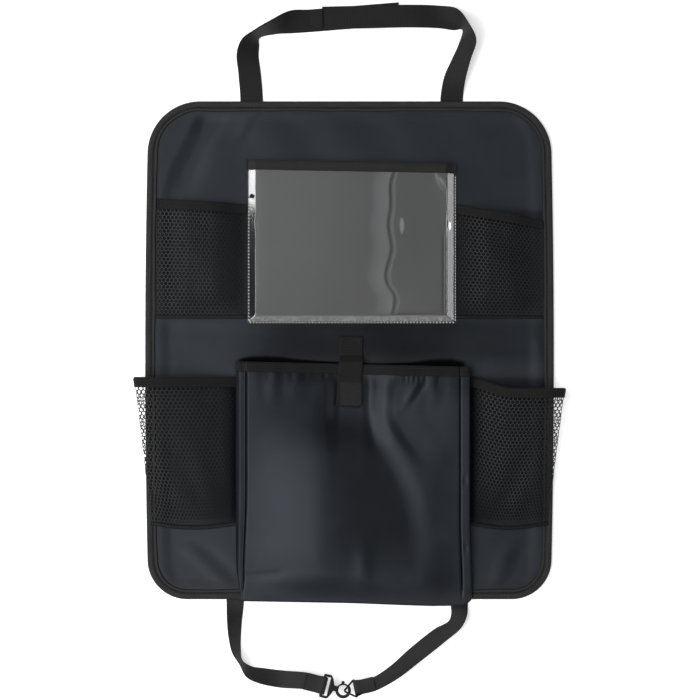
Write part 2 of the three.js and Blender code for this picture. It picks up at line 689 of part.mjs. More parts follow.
function headrestStrapLeft() {
  const width = HEADREST_STRAP_WIDTH;
  const lapAcross = radToDeg(LAP_TURN) - 90;
  return band(
    [
      onHeadrest(-0.49, null, 0, 0, width),
      onHeadrest(-0.491, 0.06, 0, 0, width),
      onHeadrest(-0.5, 0.31, -1, -4, width),
      onHeadrest(-0.509, 0.51, -4, -16, width),
      onHeadrest(-0.5, 0.65, -16, -46, width),
      onHeadrest(-0.468, 0.76, -45, -70, width),
      onHeadrest(-0.382, 0.82, -72, -55, width),
      onHeadrest(-0.291, 0.873, lapAcross, -14, width),
      place(LAP_LEFT.x, LAP_LEFT.y, lapAcross, 0, width),
      place(LAP_LEFT.x + width, LAP_LEFT.y + width * Math.tan(LAP_TURN), lapAcross, 0, width),
      place(LAP_RIGHT.x, LAP_RIGHT.y, lapAcross, 0, width),
    ],
    width,
    3,
  );
}

function headrestStrapRight() {
  const width = HEADREST_STRAP_WIDTH;
  return band(
    [
      onHeadrest(0.511, null, 0, 0, width),
      onHeadrest(0.513, 0.06, 0, 0, width),
      onHeadrest(0.527, 0.26, -8, 20, width),
      onHeadrest(0.559, 0.46, -9, 38, width),
      onHeadrest(0.582, 0.66, 12, 56, width),
      onHeadrest(0.568, 0.83, 50, 66, width),
      onHeadrest(0.518, 0.905, 78, 34, width),
      onHeadrest(0.445, 0.93, 90, 0, width, 2 * WEBBING),
      place(UPPER_BAND_BEND.x, UPPER_BAND_BEND.y, 91, 0, width, LAPPED_HEIGHT),
      onHeadrest(0.091, 0.926, 91, 0, width, LAPPED_HEIGHT),
      place(UPPER_BAND_END.x, UPPER_BAND_END.y, 91, 0, width, LAPPED_HEIGHT),
    ],
    width,
    3,
  );
}

// A patch that lies along the lapped bands, with its underside at a height.
function headrestPatch(from, turn, low) {
  const width = HEADREST_STRAP_WIDTH - 2 * PATCH_MARGIN;
  const patch = new THREE.BoxGeometry(HEADREST_PATCH_LENGTH, width, PATCH);
  patch.translate(HEADREST_PATCH_LENGTH / 2 + PATCH_MARGIN, 0, PATCH / 2);
  return patch.rotateZ(turn).translate(from.x, from.y, low);
}

// Lower strap, by shares of its span and of its drop below the panel.
function lowerPoint(share, drop) {
  const y = drop === null ? -STRAP_ROOT_Y : -HALF_HEIGHT - LOWER_STRAP_DROP * drop;
  return new THREE.Vector2(LOWER_STRAP_SPAN * share, y);
}

function onLower(share, drop, acrossDeg, tiltDeg, width) {
  const { x, y } = lowerPoint(share, drop);
  return place(x, y, acrossDeg, tiltDeg, width);
}

// The hook's eye bar is at its own origin, with its bend further along X.
const EYE_SLOT_END = HOOK_BAR / 2 + HOOK_SLOT;
const EYE_END = EYE_SLOT_END + HOOK_WALL;
const EYE_HALF_WIDTH = LOWER_STRAP_WIDTH / 2 + 1 + HOOK_WALL;
const BEND_X = EYE_END + HOOK_NECK_LENGTH + HOOK_OUTER_RADIUS;
const RING_HALF_WIDTH = LOWER_STRAP_WIDTH / 2 + RING_WIRE_RADIUS + 1.5;

const hookTurn = degToRad(HOOK_TURN_DEG);
const ringTurn = degToRad(RING_TURN_DEG);
const ringTilt = degToRad(RING_TILT_DEG);

// The ring's low side rests on the ground, and its narrow end sits in the hook's bend.
const LINK_HEIGHT = RING_HALF_WIDTH * Math.abs(Math.sin(ringTilt)) + RING_WIRE_RADIUS + SEAM_GAP;
const hookPlace = lowerPoint(-0.1174, 0.984);
const hookOrigin = new THREE.Vector3(hookPlace.x, hookPlace.y, LINK_HEIGHT);
const ringReach = BEND_X + HOOK_INNER_RADIUS - RING_WIRE_RADIUS - RING_SLACK;
const ringApex = new THREE.Vector3(ringReach, 0, 0).applyAxisAngle(UP, hookTurn).add(hookOrigin);

// A point in the ring's plane: along from its narrow end, and out across it.
function ringPoint(along, out) {
  return new THREE.Vector3(along, out * Math.cos(ringTilt), out * Math.sin(ringTilt))
    .applyAxisAngle(UP, ringTurn)
    .add(ringApex);
}

function seatStrapLeft() {
  const width = LOWER_STRAP_WIDTH;
  const ahead = new THREE.Vector3(1, 0, 0).applyAxisAngle(UP, hookTurn);
  const across = new THREE.Vector3(0, -1, 0).applyAxisAngle(UP, hookTurn);
  const radius = Math.hypot(HOOK_BAR, HOOK_THICKNESS) / 2 + SEAM_GAP + WEBBING / 2;
  return band(
    [
      onLower(-0.51, null, 180, 0, width),
      onLower(-0.51, 0.063, 180, 0, width),
      onLower(-0.512, 0.253, 180, 28, width),
      onLower(-0.51, 0.421, 182, 52, width),
      onLower(-0.502, 0.589, 190, 63, width),
      onLower(-0.47, 0.758, 226, 66, width),
      onLower(-0.401, 0.868, 252, 44, width),
      onLower(-0.304, 0.924, 260, 18, width),
      ...wrapRound(hookOrigin, across, ahead, radius),
    ],
    width,
    2,
  );
}

function seatStrapRight() {
  const width = LOWER_STRAP_WIDTH;
  const bar = ringPoint(RING_LENGTH, 0);
  const ahead = ringPoint(0, 0).sub(bar).normalize();
  const across = ringPoint(RING_LENGTH, 1).sub(bar);
  const radius = RING_WIRE_RADIUS + 2 * SEAM_GAP + WEBBING / 2;
  return band(
    [
      onLower(0.49, null, 180, 0, width),
      onLower(0.49, 0.063, 180, 0, width),
      onLower(0.488, 0.179, 178, -26, width),
      onLower(0.47, 0.284, 158, -40, width),
      onLower(0.405, 0.411, 135, -24, width),
      onLower(0.287, 0.653, 128, -24, width),
      onLower(0.202, 0.832, 122, -40, width),
      ...wrapRound(bar, across, ahead, radius),
    ],
    width,
    2,
  );
}

// A closed wire: a narrow end for the hook and a straight bar for the webbing.
function strapRing() {
  const [apex, half, shoulder] = [RING_APEX_HALF, RING_HALF_WIDTH, RING_SHOULDER];
  const corners = [
    [0, -apex * 0.5],
    [0, apex * 0.5],
    [apex * 0.5, apex],
    [RING_LENGTH - shoulder, half],
    [RING_LENGTH, half - shoulder],
    [RING_LENGTH, shoulder - half],
    [RING_LENGTH - shoulder, -half],
    [apex * 0.5, -apex],
  ];
  const points = corners.map(([along, out]) => ringPoint(along, out));
  const normal = new THREE.Vector3(0, -Math.sin(ringTilt), Math.cos(ringTilt)).applyAxisAngle(UP, ringTurn);
  const sides = 8;
  const rings = points.map((point, i) => {
    const before = points[(i + points.length - 1) % points.length];
    const after = points[(i + 1) % points.length];
    const leaving = after.clone().sub(point).normalize();
    const travel = point.clone().sub(before).normalize().add(leaving).normalize();
    const aside = travel.clone().cross(normal);
    const stretch = 1 / travel.dot(leaving);
    return Array.from({ length: sides }, (_, k) => {
      const angle = (2 * Math.PI * k) / sides;
      return point
        .clone()
        .addScaledVector(aside, RING_WIRE_RADIUS * stretch * Math.cos(angle))
        .addScaledVector(normal, -RING_WIRE_RADIUS * Math.sin(angle));
    });
  });
  return skin([...rings, rings[0]], []);
}

// Part of a flat ring round the hook's bend, between two radii and two angles in degrees.
function bendShape(inner, outer, fromDeg, toDeg) {
  const shape = new THREE.Shape();
  shape.absarc(BEND_X, 0, outer, degToRad(fromDeg), degToRad(toDeg), false);
  shape.absarc(BEND_X, 0, inner, degToRad(toDeg), degToRad(fromDeg), true);
  shape.closePath();
  return shape;
}

function boxShape(left, right, half) {
  const corners = [
    [left, -half],
    [right, -half],
    [right, half],
    [left, half],
  ];
  return new THREE.Shape(corners.map(([x, y]) => new THREE.Vector2(x, y)));
}

// The plate round the webbing's slot, which narrows to the neck.
function eyeShape() {
  const half = EYE_HALF_WIDTH;
  const neck = HOOK_NECK_WIDTH / 2;
  const shape = new THREE.Shape();
  shape.moveTo(-HOOK_BAR / 2, 2 - half);
  shape.quadraticCurveTo(-HOOK_BAR / 2, -half, 2 - HOOK_BAR / 2, -half);
  shape.lineTo(EYE_SLOT_END, -half);
  shape.quadraticCurveTo(EYE_END + 0.5, 2 - half, EYE_END + 3, -neck);
  shape.lineTo(EYE_END + 3, neck);
  shape.quadraticCurveTo(EYE_END + 0.5, half - 2, EYE_SLOT_END, half);
  shape.lineTo(2 - HOOK_BAR / 2, half);
  shape.quadraticCurveTo(-HOOK_BAR / 2, half, -HOOK_BAR / 2, half - 2);
  shape.closePath();
  shape.holes.push(boxShape(HOOK_BAR / 2, EYE_SLOT_END, EYE_HALF_WIDTH - HOOK_WALL));
  return shape;
}

// Snap hook, moulded in one piece: eye, neck, open bend and a springy tongue with a thumb rest.
function snapHook() {
  const half = HOOK_THICKNESS / 2;
  const thin = half - TONGUE_SIDE_GAP;
  const tongueRadius = HOOK_INNER_RADIUS + 0.6;
  const tongueOuter = tongueRadius + TONGUE_WIDTH;
  const thumb = new THREE.Shape().absarc(BEND_X - 2.2, tongueOuter + 0.6, THUMB_RADIUS, 0, 2 * Math.PI);
  const neckEnd = BEND_X - HOOK_INNER_RADIUS - 1;
  const pieces = [
    plate(eyeShape(), -half, half, 5),
    plate(boxShape(EYE_END, neckEnd, HOOK_NECK_WIDTH / 2), -half, half),
    plate(bendShape(HOOK_INNER_RADIUS, HOOK_OUTER_RADIUS, 160, 408), -half, half, 12),
    plate(bendShape(tongueRadius, tongueOuter, 58, 172), -thin, thin, 8),
    plate(thumb, -thin, thin, 6),
  ];
  const hook = pieces.map(solidOf).reduce((whole, piece) => whole.add(piece));
  return geometryOf(hook).rotateZ(hookTurn).translate(hookOrigin.x, hookOrigin.y, hookOrigin.z);
}

// Assembly

const organizer = new THREE.Group();

function add(name, geometry, material) {
  const mesh = new THREE.Mesh(geometry, material);
  mesh.name = name;
  organizer.add(mesh);
}

add("back_panel", backPanel(), clothMaterial);
add("edge_binding", edgeBinding(), tapeMaterial);
add("window_film", windowFilm(), filmMaterial);
add("window_binding", windowBinding(), tapeMaterial);
for (const [side, word] of [
  [-1, "left"],
  [1, "right"],
]) {
  add(`upper_net_${word}`, upperNetSheet(side), netMaterial);
  add(`upper_net_hem_${word}`, upperNetHem(side), tapeMaterial);
  add(`lower_net_${word}`, lowerNetSheet(side), netMaterial);
  add(`lower_net_hem_${word}`, lowerNetHem(side), tapeMaterial);
}
add("main_pocket", mainPocket(), clothMaterial);
add("main_pocket_binding", mainPocketBinding(), tapeMaterial);
add("closure_loop_patch", closurePatch(CLOTH + SEAM_GAP), patchMaterial);
add("closure_hook_patch", closurePatch(CLOTH + PATCH + 2 * SEAM_GAP), patchMaterial);
add("closure_strap", closureStrap(), webbingMaterial);
add("headrest_strap_left", headrestStrapLeft(), webbingMaterial);
add("headrest_hook_patch", headrestPatch(LAP_LEFT, LAP_TURN, WEBBING + SEAM_GAP), patchMaterial);
add(
  "headrest_loop_patch",
  headrestPatch(UPPER_BAND_END, UPPER_BAND_TURN, WEBBING + PATCH + 2 * SEAM_GAP),
  patchMaterial,
);
add("headrest_strap_right", headrestStrapRight(), webbingMaterial);
add("seat_strap_left", seatStrapLeft(), webbingMaterial);
add("seat_strap_right", seatStrapRight(), webbingMaterial);
add("snap_hook", snapHook(), plasticMaterial);
add("strap_ring", strapRing(), plasticMaterial);

// The middle of the base goes to the origin.
const bounds = new THREE.Box3().setFromObject(organizer);
const middle = bounds.getCenter(new THREE.Vector3());
organizer.position.set(-middle.x, -middle.y, -bounds.min.z);

export default organizer;
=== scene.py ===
# %% [markdown]
# # A car seat back organizer, seen from straight above
# The real thing is a stiffened cloth panel with pockets sewn on: a clear one for a tablet, four of
# knitted net and a large one with folded sides. Webbing straps hold it to a seat. All of it is cloth,
# so nearly every piece here is one idea: a flat layout of lengths across, up and out of the cloth,
# which a surface function then bends into place. The sizes are in millimetres until the mesh is made.

import bmesh
import bpy
import numpy as np
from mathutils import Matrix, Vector


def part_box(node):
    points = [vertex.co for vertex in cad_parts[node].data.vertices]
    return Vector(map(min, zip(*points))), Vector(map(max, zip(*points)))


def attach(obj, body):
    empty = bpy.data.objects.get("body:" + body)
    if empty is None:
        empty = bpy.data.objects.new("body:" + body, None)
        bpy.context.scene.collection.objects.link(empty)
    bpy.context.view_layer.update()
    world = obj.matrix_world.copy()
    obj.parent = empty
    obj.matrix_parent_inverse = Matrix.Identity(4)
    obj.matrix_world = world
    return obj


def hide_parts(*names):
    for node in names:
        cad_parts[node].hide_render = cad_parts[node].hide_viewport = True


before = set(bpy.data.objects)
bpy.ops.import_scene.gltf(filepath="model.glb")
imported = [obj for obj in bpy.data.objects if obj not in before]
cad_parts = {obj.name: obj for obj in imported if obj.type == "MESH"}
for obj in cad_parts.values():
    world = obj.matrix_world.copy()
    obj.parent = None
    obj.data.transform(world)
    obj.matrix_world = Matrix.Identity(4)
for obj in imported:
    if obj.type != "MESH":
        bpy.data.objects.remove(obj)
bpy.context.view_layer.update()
MM = 0.001


def box_mm(node):
    """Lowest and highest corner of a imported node, in millimetres."""
    low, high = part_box(node)
    return np.array(low) / MM, np.array(high) / MM


binding_low, binding_high = box_mm("edge_binding")
CENTRE = np.array([*(binding_low + binding_high)[:2] / 2, 0])
HALF_WIDTH, HALF_HEIGHT = (binding_high - binding_low)[:2] / 2
print("panel centre", CENTRE.round(2), "half size", HALF_WIDTH.round(1), HALF_HEIGHT.round(1))

# %% [markdown]
# ## Camera and light
# The photo looks straight down at the panel on a white floor, from far enough that the sides of the
# pockets don't show. The floor is lit until it is pure white, while black cloth stays near black, so
# large soft lights stand all round: cloth shows its folds only where one side of a fold faces a light
# that the other side doesn't.

# %% Camera
MM_PER_PIXEL = 1.1
PHOTO_SIDE = 700
PANEL_PIXEL = (349.5, 350.3)
LENS, SENSOR = 100.0, 36.0

camera_data = bpy.data.cameras.new("camera")
camera_data.lens = LENS
camera_data.sensor_width = SENSOR
camera = bpy.data.objects.new("camera", camera_data)
bpy.context.collection.objects.link(camera)
aim = CENTRE + [
    (PHOTO_SIDE / 2 - PANEL_PIXEL[0]) * MM_PER_PIXEL,
    (PANEL_PIXEL[1] - PHOTO_SIDE / 2) * MM_PER_PIXEL,
    4,
]
distance = PHOTO_SIDE * MM_PER_PIXEL * LENS / SENSOR
camera.location = (aim + [0, 0, distance]) * MM
camera_data.clip_start, camera_data.clip_end = 0.05, 30
bpy.context.scene.camera = camera
print("camera", [round(v, 3) for v in camera.location])


# %% Lights
def soft_light(name, place, target, size, radiance):
    """A square soft light at a place in metres, turned towards a target, as bright as its radiance."""
    data = bpy.data.lights.new(name, "AREA")
    data.shape = "SQUARE"
    data.size = size
    data.energy = radiance * np.pi * size**2
    light = bpy.data.objects.new(name, data)
    light.location = place
    towards = Vector(target) - light.location
    light.rotation_euler = towards.to_track_quat("-Z", "Y").to_euler()
    bpy.context.collection.objects.link(light)


# each light's name, its place and target, its side and its radiance
LIGHTS = [
    ("overhead_left", (-1.08, 0.1, 1.9), (0, 0, 0), 1.4, 1.7),
    ("low_left", (-1.15, -1.05, 1.75), (0, 0, 0), 0.85, 8.5),
    ("top_left", (-1.9, 0.77, 1.1), (0, 0.77, 0), 0.95, 7.5),
    ("right", (2.1, 0.0, 1.35), (0, 0, 0), 1.1, 2.5),
    ("foot", (0.1, -2.2, 1.4), (0, 0, 0), 1.1, 1.1),
]
for settings in LIGHTS:
    soft_light(*settings)

# %% [markdown]
# ## Finishes
# Shader maths is easier to read as arithmetic than as a web of nodes, so a small class wraps a socket
# and turns plus, minus and times into Math nodes. One class for a node tree serves the finishes and
# the room alike.


# %% Sockets that do arithmetic, and a tree that makes them
class Wire:
    """An output socket in one node tree."""

    def __init__(self, tree, socket):
        self.tree = tree
        self.socket = socket

    def maths(self, operation, *values):
        return self.tree.node("ShaderNodeMath", {"operation": operation}, *values)

    def __add__(self, other):
        return self.maths("ADD", self, other)

    def __sub__(self, other):
        return self.maths("SUBTRACT", self, other)

    def __rsub__(self, other):
        return self.maths("SUBTRACT", other, self)

    def __mul__(self, other):
        return self.maths("MULTIPLY", self, other)

    __radd__ = __add__
    __rmul__ = __mul__

    def wave(self):
        return self.maths("SINE", self)


class Tree:
    """A node tree, and the few ways this scene adds nodes to one."""

    def __init__(self, nodes):
        self.nodes = nodes

    def node(self, kind, settings=None, *values, output=0, **named):
        """Add a node, apply its settings, then give its sockets their values or links."""
        made = self.nodes.nodes.new(kind)
        for key, value in (settings or {}).items():
            setattr(made, key, value)
        for key, value in [*enumerate(values), *named.items()]:
            self.give(made.inputs[key], value)
        return Wire(self, made.outputs[output])

    def give(self, socket, value):
        if isinstance(value, Wire):
            self.nodes.links.new(value.socket, socket)
        else:
            socket.default_value = value

    def axes(self, vector):
        parts = self.node("ShaderNodeSeparateXYZ", {}, vector)
        outputs = parts.socket.node.outputs
        return [Wire(self, outputs[i]) for i in range(3)]

    def noise(self, vector, scale, detail=3.0):
        return self.node("ShaderNodeTexNoise", {}, Vector=vector, Scale=scale, Detail=detail)

    def spread(self, value, low, high, first=0.0, last=1.0):
        """A value's range from low to high, stretched to first to last and held there."""
        smooth = {"interpolation_type": "SMOOTHSTEP"}
        return self.node("ShaderNodeMapRange", smooth, value, low, high, first, last)

    def mix(self, factor, first, second):
        """A colour between two colours."""
        made = self.node("ShaderNodeMix", {"data_type": "RGBA"}, output=2)
        sockets = made.socket.node.inputs
        for socket, value in ((sockets[0], factor), (sockets[6], first), (sockets[7], second)):
            self.give(socket, value)
        return made


class Finish(Tree):
    """One material: a Principled shader, its constant values and the nodes that feed it."""

    def __init__(self, name, **constants):
        self.material = bpy.data.materials.new(name)
        self.material.use_nodes = True
        super().__init__(self.material.node_tree)
        self.shader = self.nodes.nodes["Principled BSDF"]
        for socket, value in constants.items():
            self.shader.inputs[socket.replace("_", " ")].default_value = value

    def feed(self, name, value):
        self.give(self.shader.inputs[name], value)

    def place(self):
        """Object coordinates, in metres."""
        return self.node("ShaderNodeTexCoord", output="Object")

    def lengths(self):
        """The piece's own lengths across and along the cloth, in metres."""
        return self.node("ShaderNodeUVMap", {"uv_map": "cloth"})

    def mark(self, name):
        """A number that the mesh holds for each vertex. It is 0 on a mesh without it."""
        return self.node("ShaderNodeAttribute", {"attribute_name": name}, output="Fac")

    def dim(self, colour):
        """A colour that goes to black where the mark called shade is 1. Black metal mirrors nothing."""
        shade = self.mark("shade")
        self.feed("Base Color", self.mix(shade, colour, grey(0.001)))
        self.feed("Metallic", shade)

    def bump(self, height, distance, strength=1.0):
        return self.node("ShaderNodeBump", {}, Height=height, Distance=distance, Strength=strength)


def grey(level, tint=(1, 1, 1)):
    return tuple(level * t for t in tint) + (1,)


# %% [markdown]
# The room is a white ceiling, brighter to the left, that falls off to dark walls. The clear film
# mirrors it: the level middle of the film shows the ceiling as an even grey, and its steep edges and
# its ripple show the walls and the lights as dark and bright lines.

# %% The room
world = bpy.data.worlds.new("studio")
world.use_nodes = True
room = Tree(world.node_tree)
background = world.node_tree.nodes["Background"]
rightward, _, upward = room.axes(room.node("ShaderNodeTexCoord", output="Generated"))
ceiling = room.spread(upward, 0.55, 0.985)
room.give(background.inputs["Color"], room.mix(ceiling, grey(0.02), grey(0.76)))
brightness = room.node("ShaderNodeMath", {"operation": "MAXIMUM"}, 1.0 - rightward * 2.0, 0.05)
room.give(background.inputs["Strength"], brightness)
bpy.context.scene.world = world
# plain tones, so that lit paper comes out white and black cloth stays black
bpy.context.scene.view_settings.view_transform = "Standard"

# %% [markdown]
# The panel and the main pocket are the same coated polyester: a plain weave of fine yarn, nearly
# black with a blue cast, which turns paler where it is stretched or rubbed. Its sheen lifts it where
# it slopes away from the eye. The weave is two crossing sine waves, and large soft noise moves the
# tone about. Where little light gets in, such as behind a net, an attribute called shade on the mesh
# takes the cloth to black.


# %% Woven cloth
def woven_cloth(name, pitch=0.62 * MM):
    cloth = Finish(
        name,
        Specular_IOR_Level=0.3,
        Specular_Tint=(0.86, 0.95, 1.08, 1),
        Sheen_Weight=0.015,
        Sheen_Roughness=0.5,
    )
    place = cloth.place()
    x, y, z = cloth.axes(place)
    turn = 2 * np.pi / pitch
    weave = (x * turn).wave() * ((y + z) * turn).wave()
    slub = cloth.noise(cloth.node("ShaderNodeMapping", {}, place, Scale=(60, 900, 60)), 1.0, 2.0)
    tone = cloth.noise(place, 9.0, 3.0)
    patch = cloth.noise(place, 45.0, 2.0)
    mottled = cloth.spread(tone * 0.6 + patch * 0.25 + slub * 0.15, 0.35, 0.65)
    dark, pale = grey(0.0075, (0.84, 1, 1.3)), grey(0.0125, (0.86, 1, 1.25))
    cloth.dim(cloth.mix(mottled, dark, pale))
    cloth.feed("Roughness", 0.32 + 0.1 * patch)
    cloth.feed("Normal", cloth.bump(weave * 0.6 + slub * 0.6, 0.06 * MM, 0.6))
    return cloth.material


panel_cloth = woven_cloth("panel_cloth")
print("finish", panel_cloth.name)

# %% [markdown]
# The tapes and the webbing are ribbed across their length. Both carry their own lengths as a UV map,
# so the ribs turn with the tape round corners and twists, which a pattern in space couldn't do.


# %% Tape and webbing
def ribbed(name, rib, level, tint, depth, roughness):
    """A ribbed narrow weave: ribs across the tape, broken up by finer yarns along it."""
    tape = Finish(name, Specular_IOR_Level=0.25, Sheen_Weight=0.04, Sheen_Roughness=0.5)
    across, along, _ = tape.axes(tape.lengths())
    ribs = (along * (2 * np.pi / rib)).wave()
    yarns = (across * (2 * np.pi / (rib * 0.8))).wave()
    fuzz = tape.noise(tape.place(), 1400.0, 2.0)
    wear = tape.noise(tape.place(), 40.0, 3.0)
    shade = tape.spread(ribs * 0.7 + wear + fuzz * 0.8, 0.65, 1.55)
    plain = tape.mix(shade, grey(level * 0.7, tint), grey(level * 1.3, tint))
    # a mark set on the mesh makes the tape paler: a pale band, and a painted highlight along a line
    with_pale_band = tape.mix(tape.mark("pale_band_and_highlight"), plain, grey(level * 2.6, tint))
    # another mark takes the tape near black: painted shade in its stitched groove and at its inner edge
    tape.feed("Base Color", tape.mix(tape.mark("groove"), with_pale_band, grey(level * 0.15, tint)))
    tape.feed("Roughness", roughness + 0.1 * fuzz)
    tape.feed("Normal", tape.bump(ribs * 0.7 + ribs * yarns * 0.5 + fuzz * 0.6, depth, 0.8))
    return tape.material


edge_tape = ribbed("edge_tape", 1.5 * MM, 0.018, (1.0, 1.0, 0.99), 0.09 * MM, 0.7)
hem_tape = ribbed("hem_tape", 1.5 * MM, 0.0058, (1.0, 1.0, 1.0), 0.09 * MM, 0.8)
webbing = ribbed("webbing", 1.7 * MM, 0.007, (0.97, 1.0, 1.04), 0.14 * MM, 0.6)
seat_webbing = ribbed("seat_webbing", 1.7 * MM, 0.016, (1.0, 0.98, 1.02), 0.14 * MM, 0.6)
pale_tape = ribbed("pale_tape", 1.5 * MM, 0.016, (1.04, 1.0, 0.97), 0.09 * MM, 0.7)
closure_webbing = ribbed("closure_webbing", 1.7 * MM, 0.0045, (1.03, 1.0, 0.97), 0.14 * MM, 0.7)
print("finishes", edge_tape.name, hem_tape.name, webbing.name)

# %% [markdown]
# The small parts have plain finishes. Knitted yarn is dull and has a fine fuzz. The pile of hook and
# loop tape is a field of tiny bumps, which the cells of a Voronoi texture give. Thread is one tone
# broken by its twist, and the buckle is moulded plastic with a slight cloud. Noise and a bump are
# enough for these: hairs and loops made as meshes would be too small to see.


# %% Net, patches, thread and plastic
def net_yarn():
    yarn = Finish("net_yarn", Roughness=0.55, Specular_IOR_Level=0.3, Sheen_Weight=0.03)
    fuzz = yarn.noise(yarn.place(), 1800.0, 2.0)
    yarn.dim(yarn.mix(fuzz, grey(0.005, (0.95, 1, 1.1)), grey(0.013, (0.95, 1, 1.1))))
    yarn.feed("Normal", yarn.bump(fuzz, 0.08 * MM, 0.8))
    return yarn.material


def hook_tape():
    tape = Finish("hook_tape", Roughness=0.9, Specular_IOR_Level=0.3)
    loops = tape.node("ShaderNodeTexVoronoi", {}, Vector=tape.place(), Scale=1100.0)
    tape.feed("Base Color", tape.mix(loops, grey(0.02), grey(0.008)))
    tape.feed("Normal", tape.bump(1 - loops, 0.3 * MM, 1.0))
    return tape.material


def thread(name, level):
    yarn = Finish(name, Roughness=0.55, Specular_IOR_Level=0.3)
    twist = yarn.noise(yarn.place(), 2500.0, 1.0)
    yarn.feed("Base Color", yarn.mix(twist, grey(level * 0.7), grey(level * 1.3)))
    return yarn.material


def moulded_plastic():
    plastic = Finish("moulded_plastic", Specular_IOR_Level=0.25)
    cloud = plastic.noise(plastic.place(), 300.0, 3.0)
    plastic.feed("Base Color", plastic.mix(cloud, grey(0.006), grey(0.012)))
    plastic.feed("Roughness", 0.25 + 0.15 * cloud)
    plastic.feed("Normal", plastic.bump(plastic.noise(plastic.place(), 1500.0, 2.0), 0.02 * MM, 0.5))
    return plastic.material


net_material = net_yarn()
patch_material = hook_tape()
black_thread = thread("black_thread", 0.01)
film_thread = thread("film_thread", 0.75)
plastic_material = moulded_plastic()

# %% [markdown]
# The film is soft clear vinyl, whose faces mirror about a tenth of the room. Three attributes on the
# mesh change it from place to place: scuff is the hazy strip along its foot, seam the pressed edge
# outside the stitches, which is clearer and duller, and glare a few small painted highlights in near
# white.


# %% Clear film
def clear_film():
    film = Finish(
        "clear_film",
        IOR=1.9,
        Specular_IOR_Level=1.0,
        Coat_Weight=1.0,
        Coat_IOR=1.9,
        Coat_Roughness=0.07,
    )
    specks = film.spread(film.noise(film.place(), 260.0, 3.0), 0.42, 0.62, 0.1, 1.0)
    marks = film.mark("scuff") * specks
    glare = film.mark("glare")
    seam = film.mark("seam")
    scuffed = film.mix(marks, grey(0.012, (1, 1.0, 1.02)), grey(0.6, (1, 1, 1.03)))
    # glare paints near-white highlights over the film's colour, and makes the film less clear there
    film.feed("Base Color", film.mix(glare, scuffed, grey(0.98)))
    film.feed("Alpha", 0.3 + 0.45 * marks - 0.26 * seam + 0.7 * glare)
    film.feed("Roughness", 0.08 + 0.25 * marks + 0.5 * seam)
    film.feed("Coat Weight", 1 - seam)
    film.material.surface_render_method = "BLENDED"
    return film.material


film_material = clear_film()
print("finishes", len(bpy.data.materials))

# %% [markdown]
# ## Meshes from arrays
# A piece of cloth starts flat. Its layout holds a length a across, a length b up and a distance w
# out of the cloth for each point. Bending it takes each point to the surface at (a, b) and then w
# along the surface's normal, which the cross product of two small steps gives.


# %% Grids, walls and bending
def smoothstep(x, low, high):
    """A smooth rise from 0 at low to 1 at high: t squared times 3 minus 2 t."""
    t = np.clip((x - low) / (high - low), 0, 1)
    return t * t * (3 - 2 * t)


def fade(x, low, high):
    """A smooth fall from 1 at low to 0 at high."""
    return 1 - smoothstep(x, low, high)


def lerp(first, last, t):
    return first + (last - first) * t


def hump(x, centre, width):
    """A bell: e to the minus square of the distance over the width."""
    return np.exp(-(((x - centre) / width) ** 2))


def fold(x, crest, valley, width):
    """A fold across x: a bell up at its crest beside a bell down in its valley."""
    return hump(x, crest, width) - hump(x, valley, width)


def grid_faces(rows, columns, loop_rows=False, loop_columns=False):
    """Four-sided faces of a grid, anticlockwise where rows run up and columns run right."""
    index = np.arange(rows * columns).reshape(rows, columns)
    if loop_rows:
        index = np.vstack([index, index[:1]])
    if loop_columns:
        index = np.hstack([index, index[:, :1]])
    low_left, low_right = index[:-1, :-1], index[:-1, 1:]
    high_left, high_right = index[1:, :-1], index[1:, 1:]
    return np.stack([low_left, low_right, high_right, high_left], axis=-1).reshape(-1, 4)


def flat_grid(a, b):
    """Flat points and faces of a grid whose columns lie at a and whose rows lie at b."""
    b_of, a_of = np.meshgrid(b, a, indexing="ij")
    return np.stack([a_of.ravel(), b_of.ravel()], -1), grid_faces(len(b), len(a))


def capped_tube(rows, columns):
    """Faces of a tube of rings, closed at both ends by strips across its flat section."""
    pair = np.arange(columns // 2 - 1)
    cap = np.stack([pair, pair + 1, columns - 2 - pair, columns - 1 - pair], -1)
    tube = grid_faces(rows, columns, loop_columns=True)
    return np.vstack([tube, cap, cap[:, ::-1] + (rows - 1) * columns])


def path_lengths(points):
    """The length along a line of points, at each of them."""
    return np.r_[0, np.cumsum(np.linalg.norm(np.diff(points, axis=0), axis=1))]


def rim_walls(faces, count):
    """Faces that join two layers along each edge that only one face has."""
    start = faces.ravel()
    end = np.roll(faces, -1, axis=1).ravel()
    alone = ~np.isin(start * count + end, end * count + start)
    start, end = start[alone], end[alone]
    return np.stack([start, end, end + count, start + count], axis=-1)


def two_layers(faces, count):
    """Faces of a solid whose lower layer is turned over, with walls between."""
    return np.vstack([faces + count, faces[:, ::-1], rim_walls(faces, count)])


def layout(flat, faces, low, high):
    """A flat layout made solid from w = low to w = high."""
    count = len(flat)
    lengths = np.vstack([np.c_[flat, np.full(count, low)], np.c_[flat, np.full(count, high)]])
    return lengths, two_layers(faces, count)


def normals(surface, a, b, reach=0.25):
    """Unit vectors out of a surface: a small step across, crossed with a small step up."""
    across = surface(a + reach, b) - surface(a - reach, b)
    up = surface(a, b + reach) - surface(a, b - reach)
    out = np.cross(across, up)
    return out / np.linalg.norm(out, axis=-1, keepdims=True)


def bend(lengths, surface):
    """Points on the surface at (a, b), moved w along its normal."""
    a, b, w = lengths.T
    return surface(a, b) + w[:, None] * normals(surface, a, b)


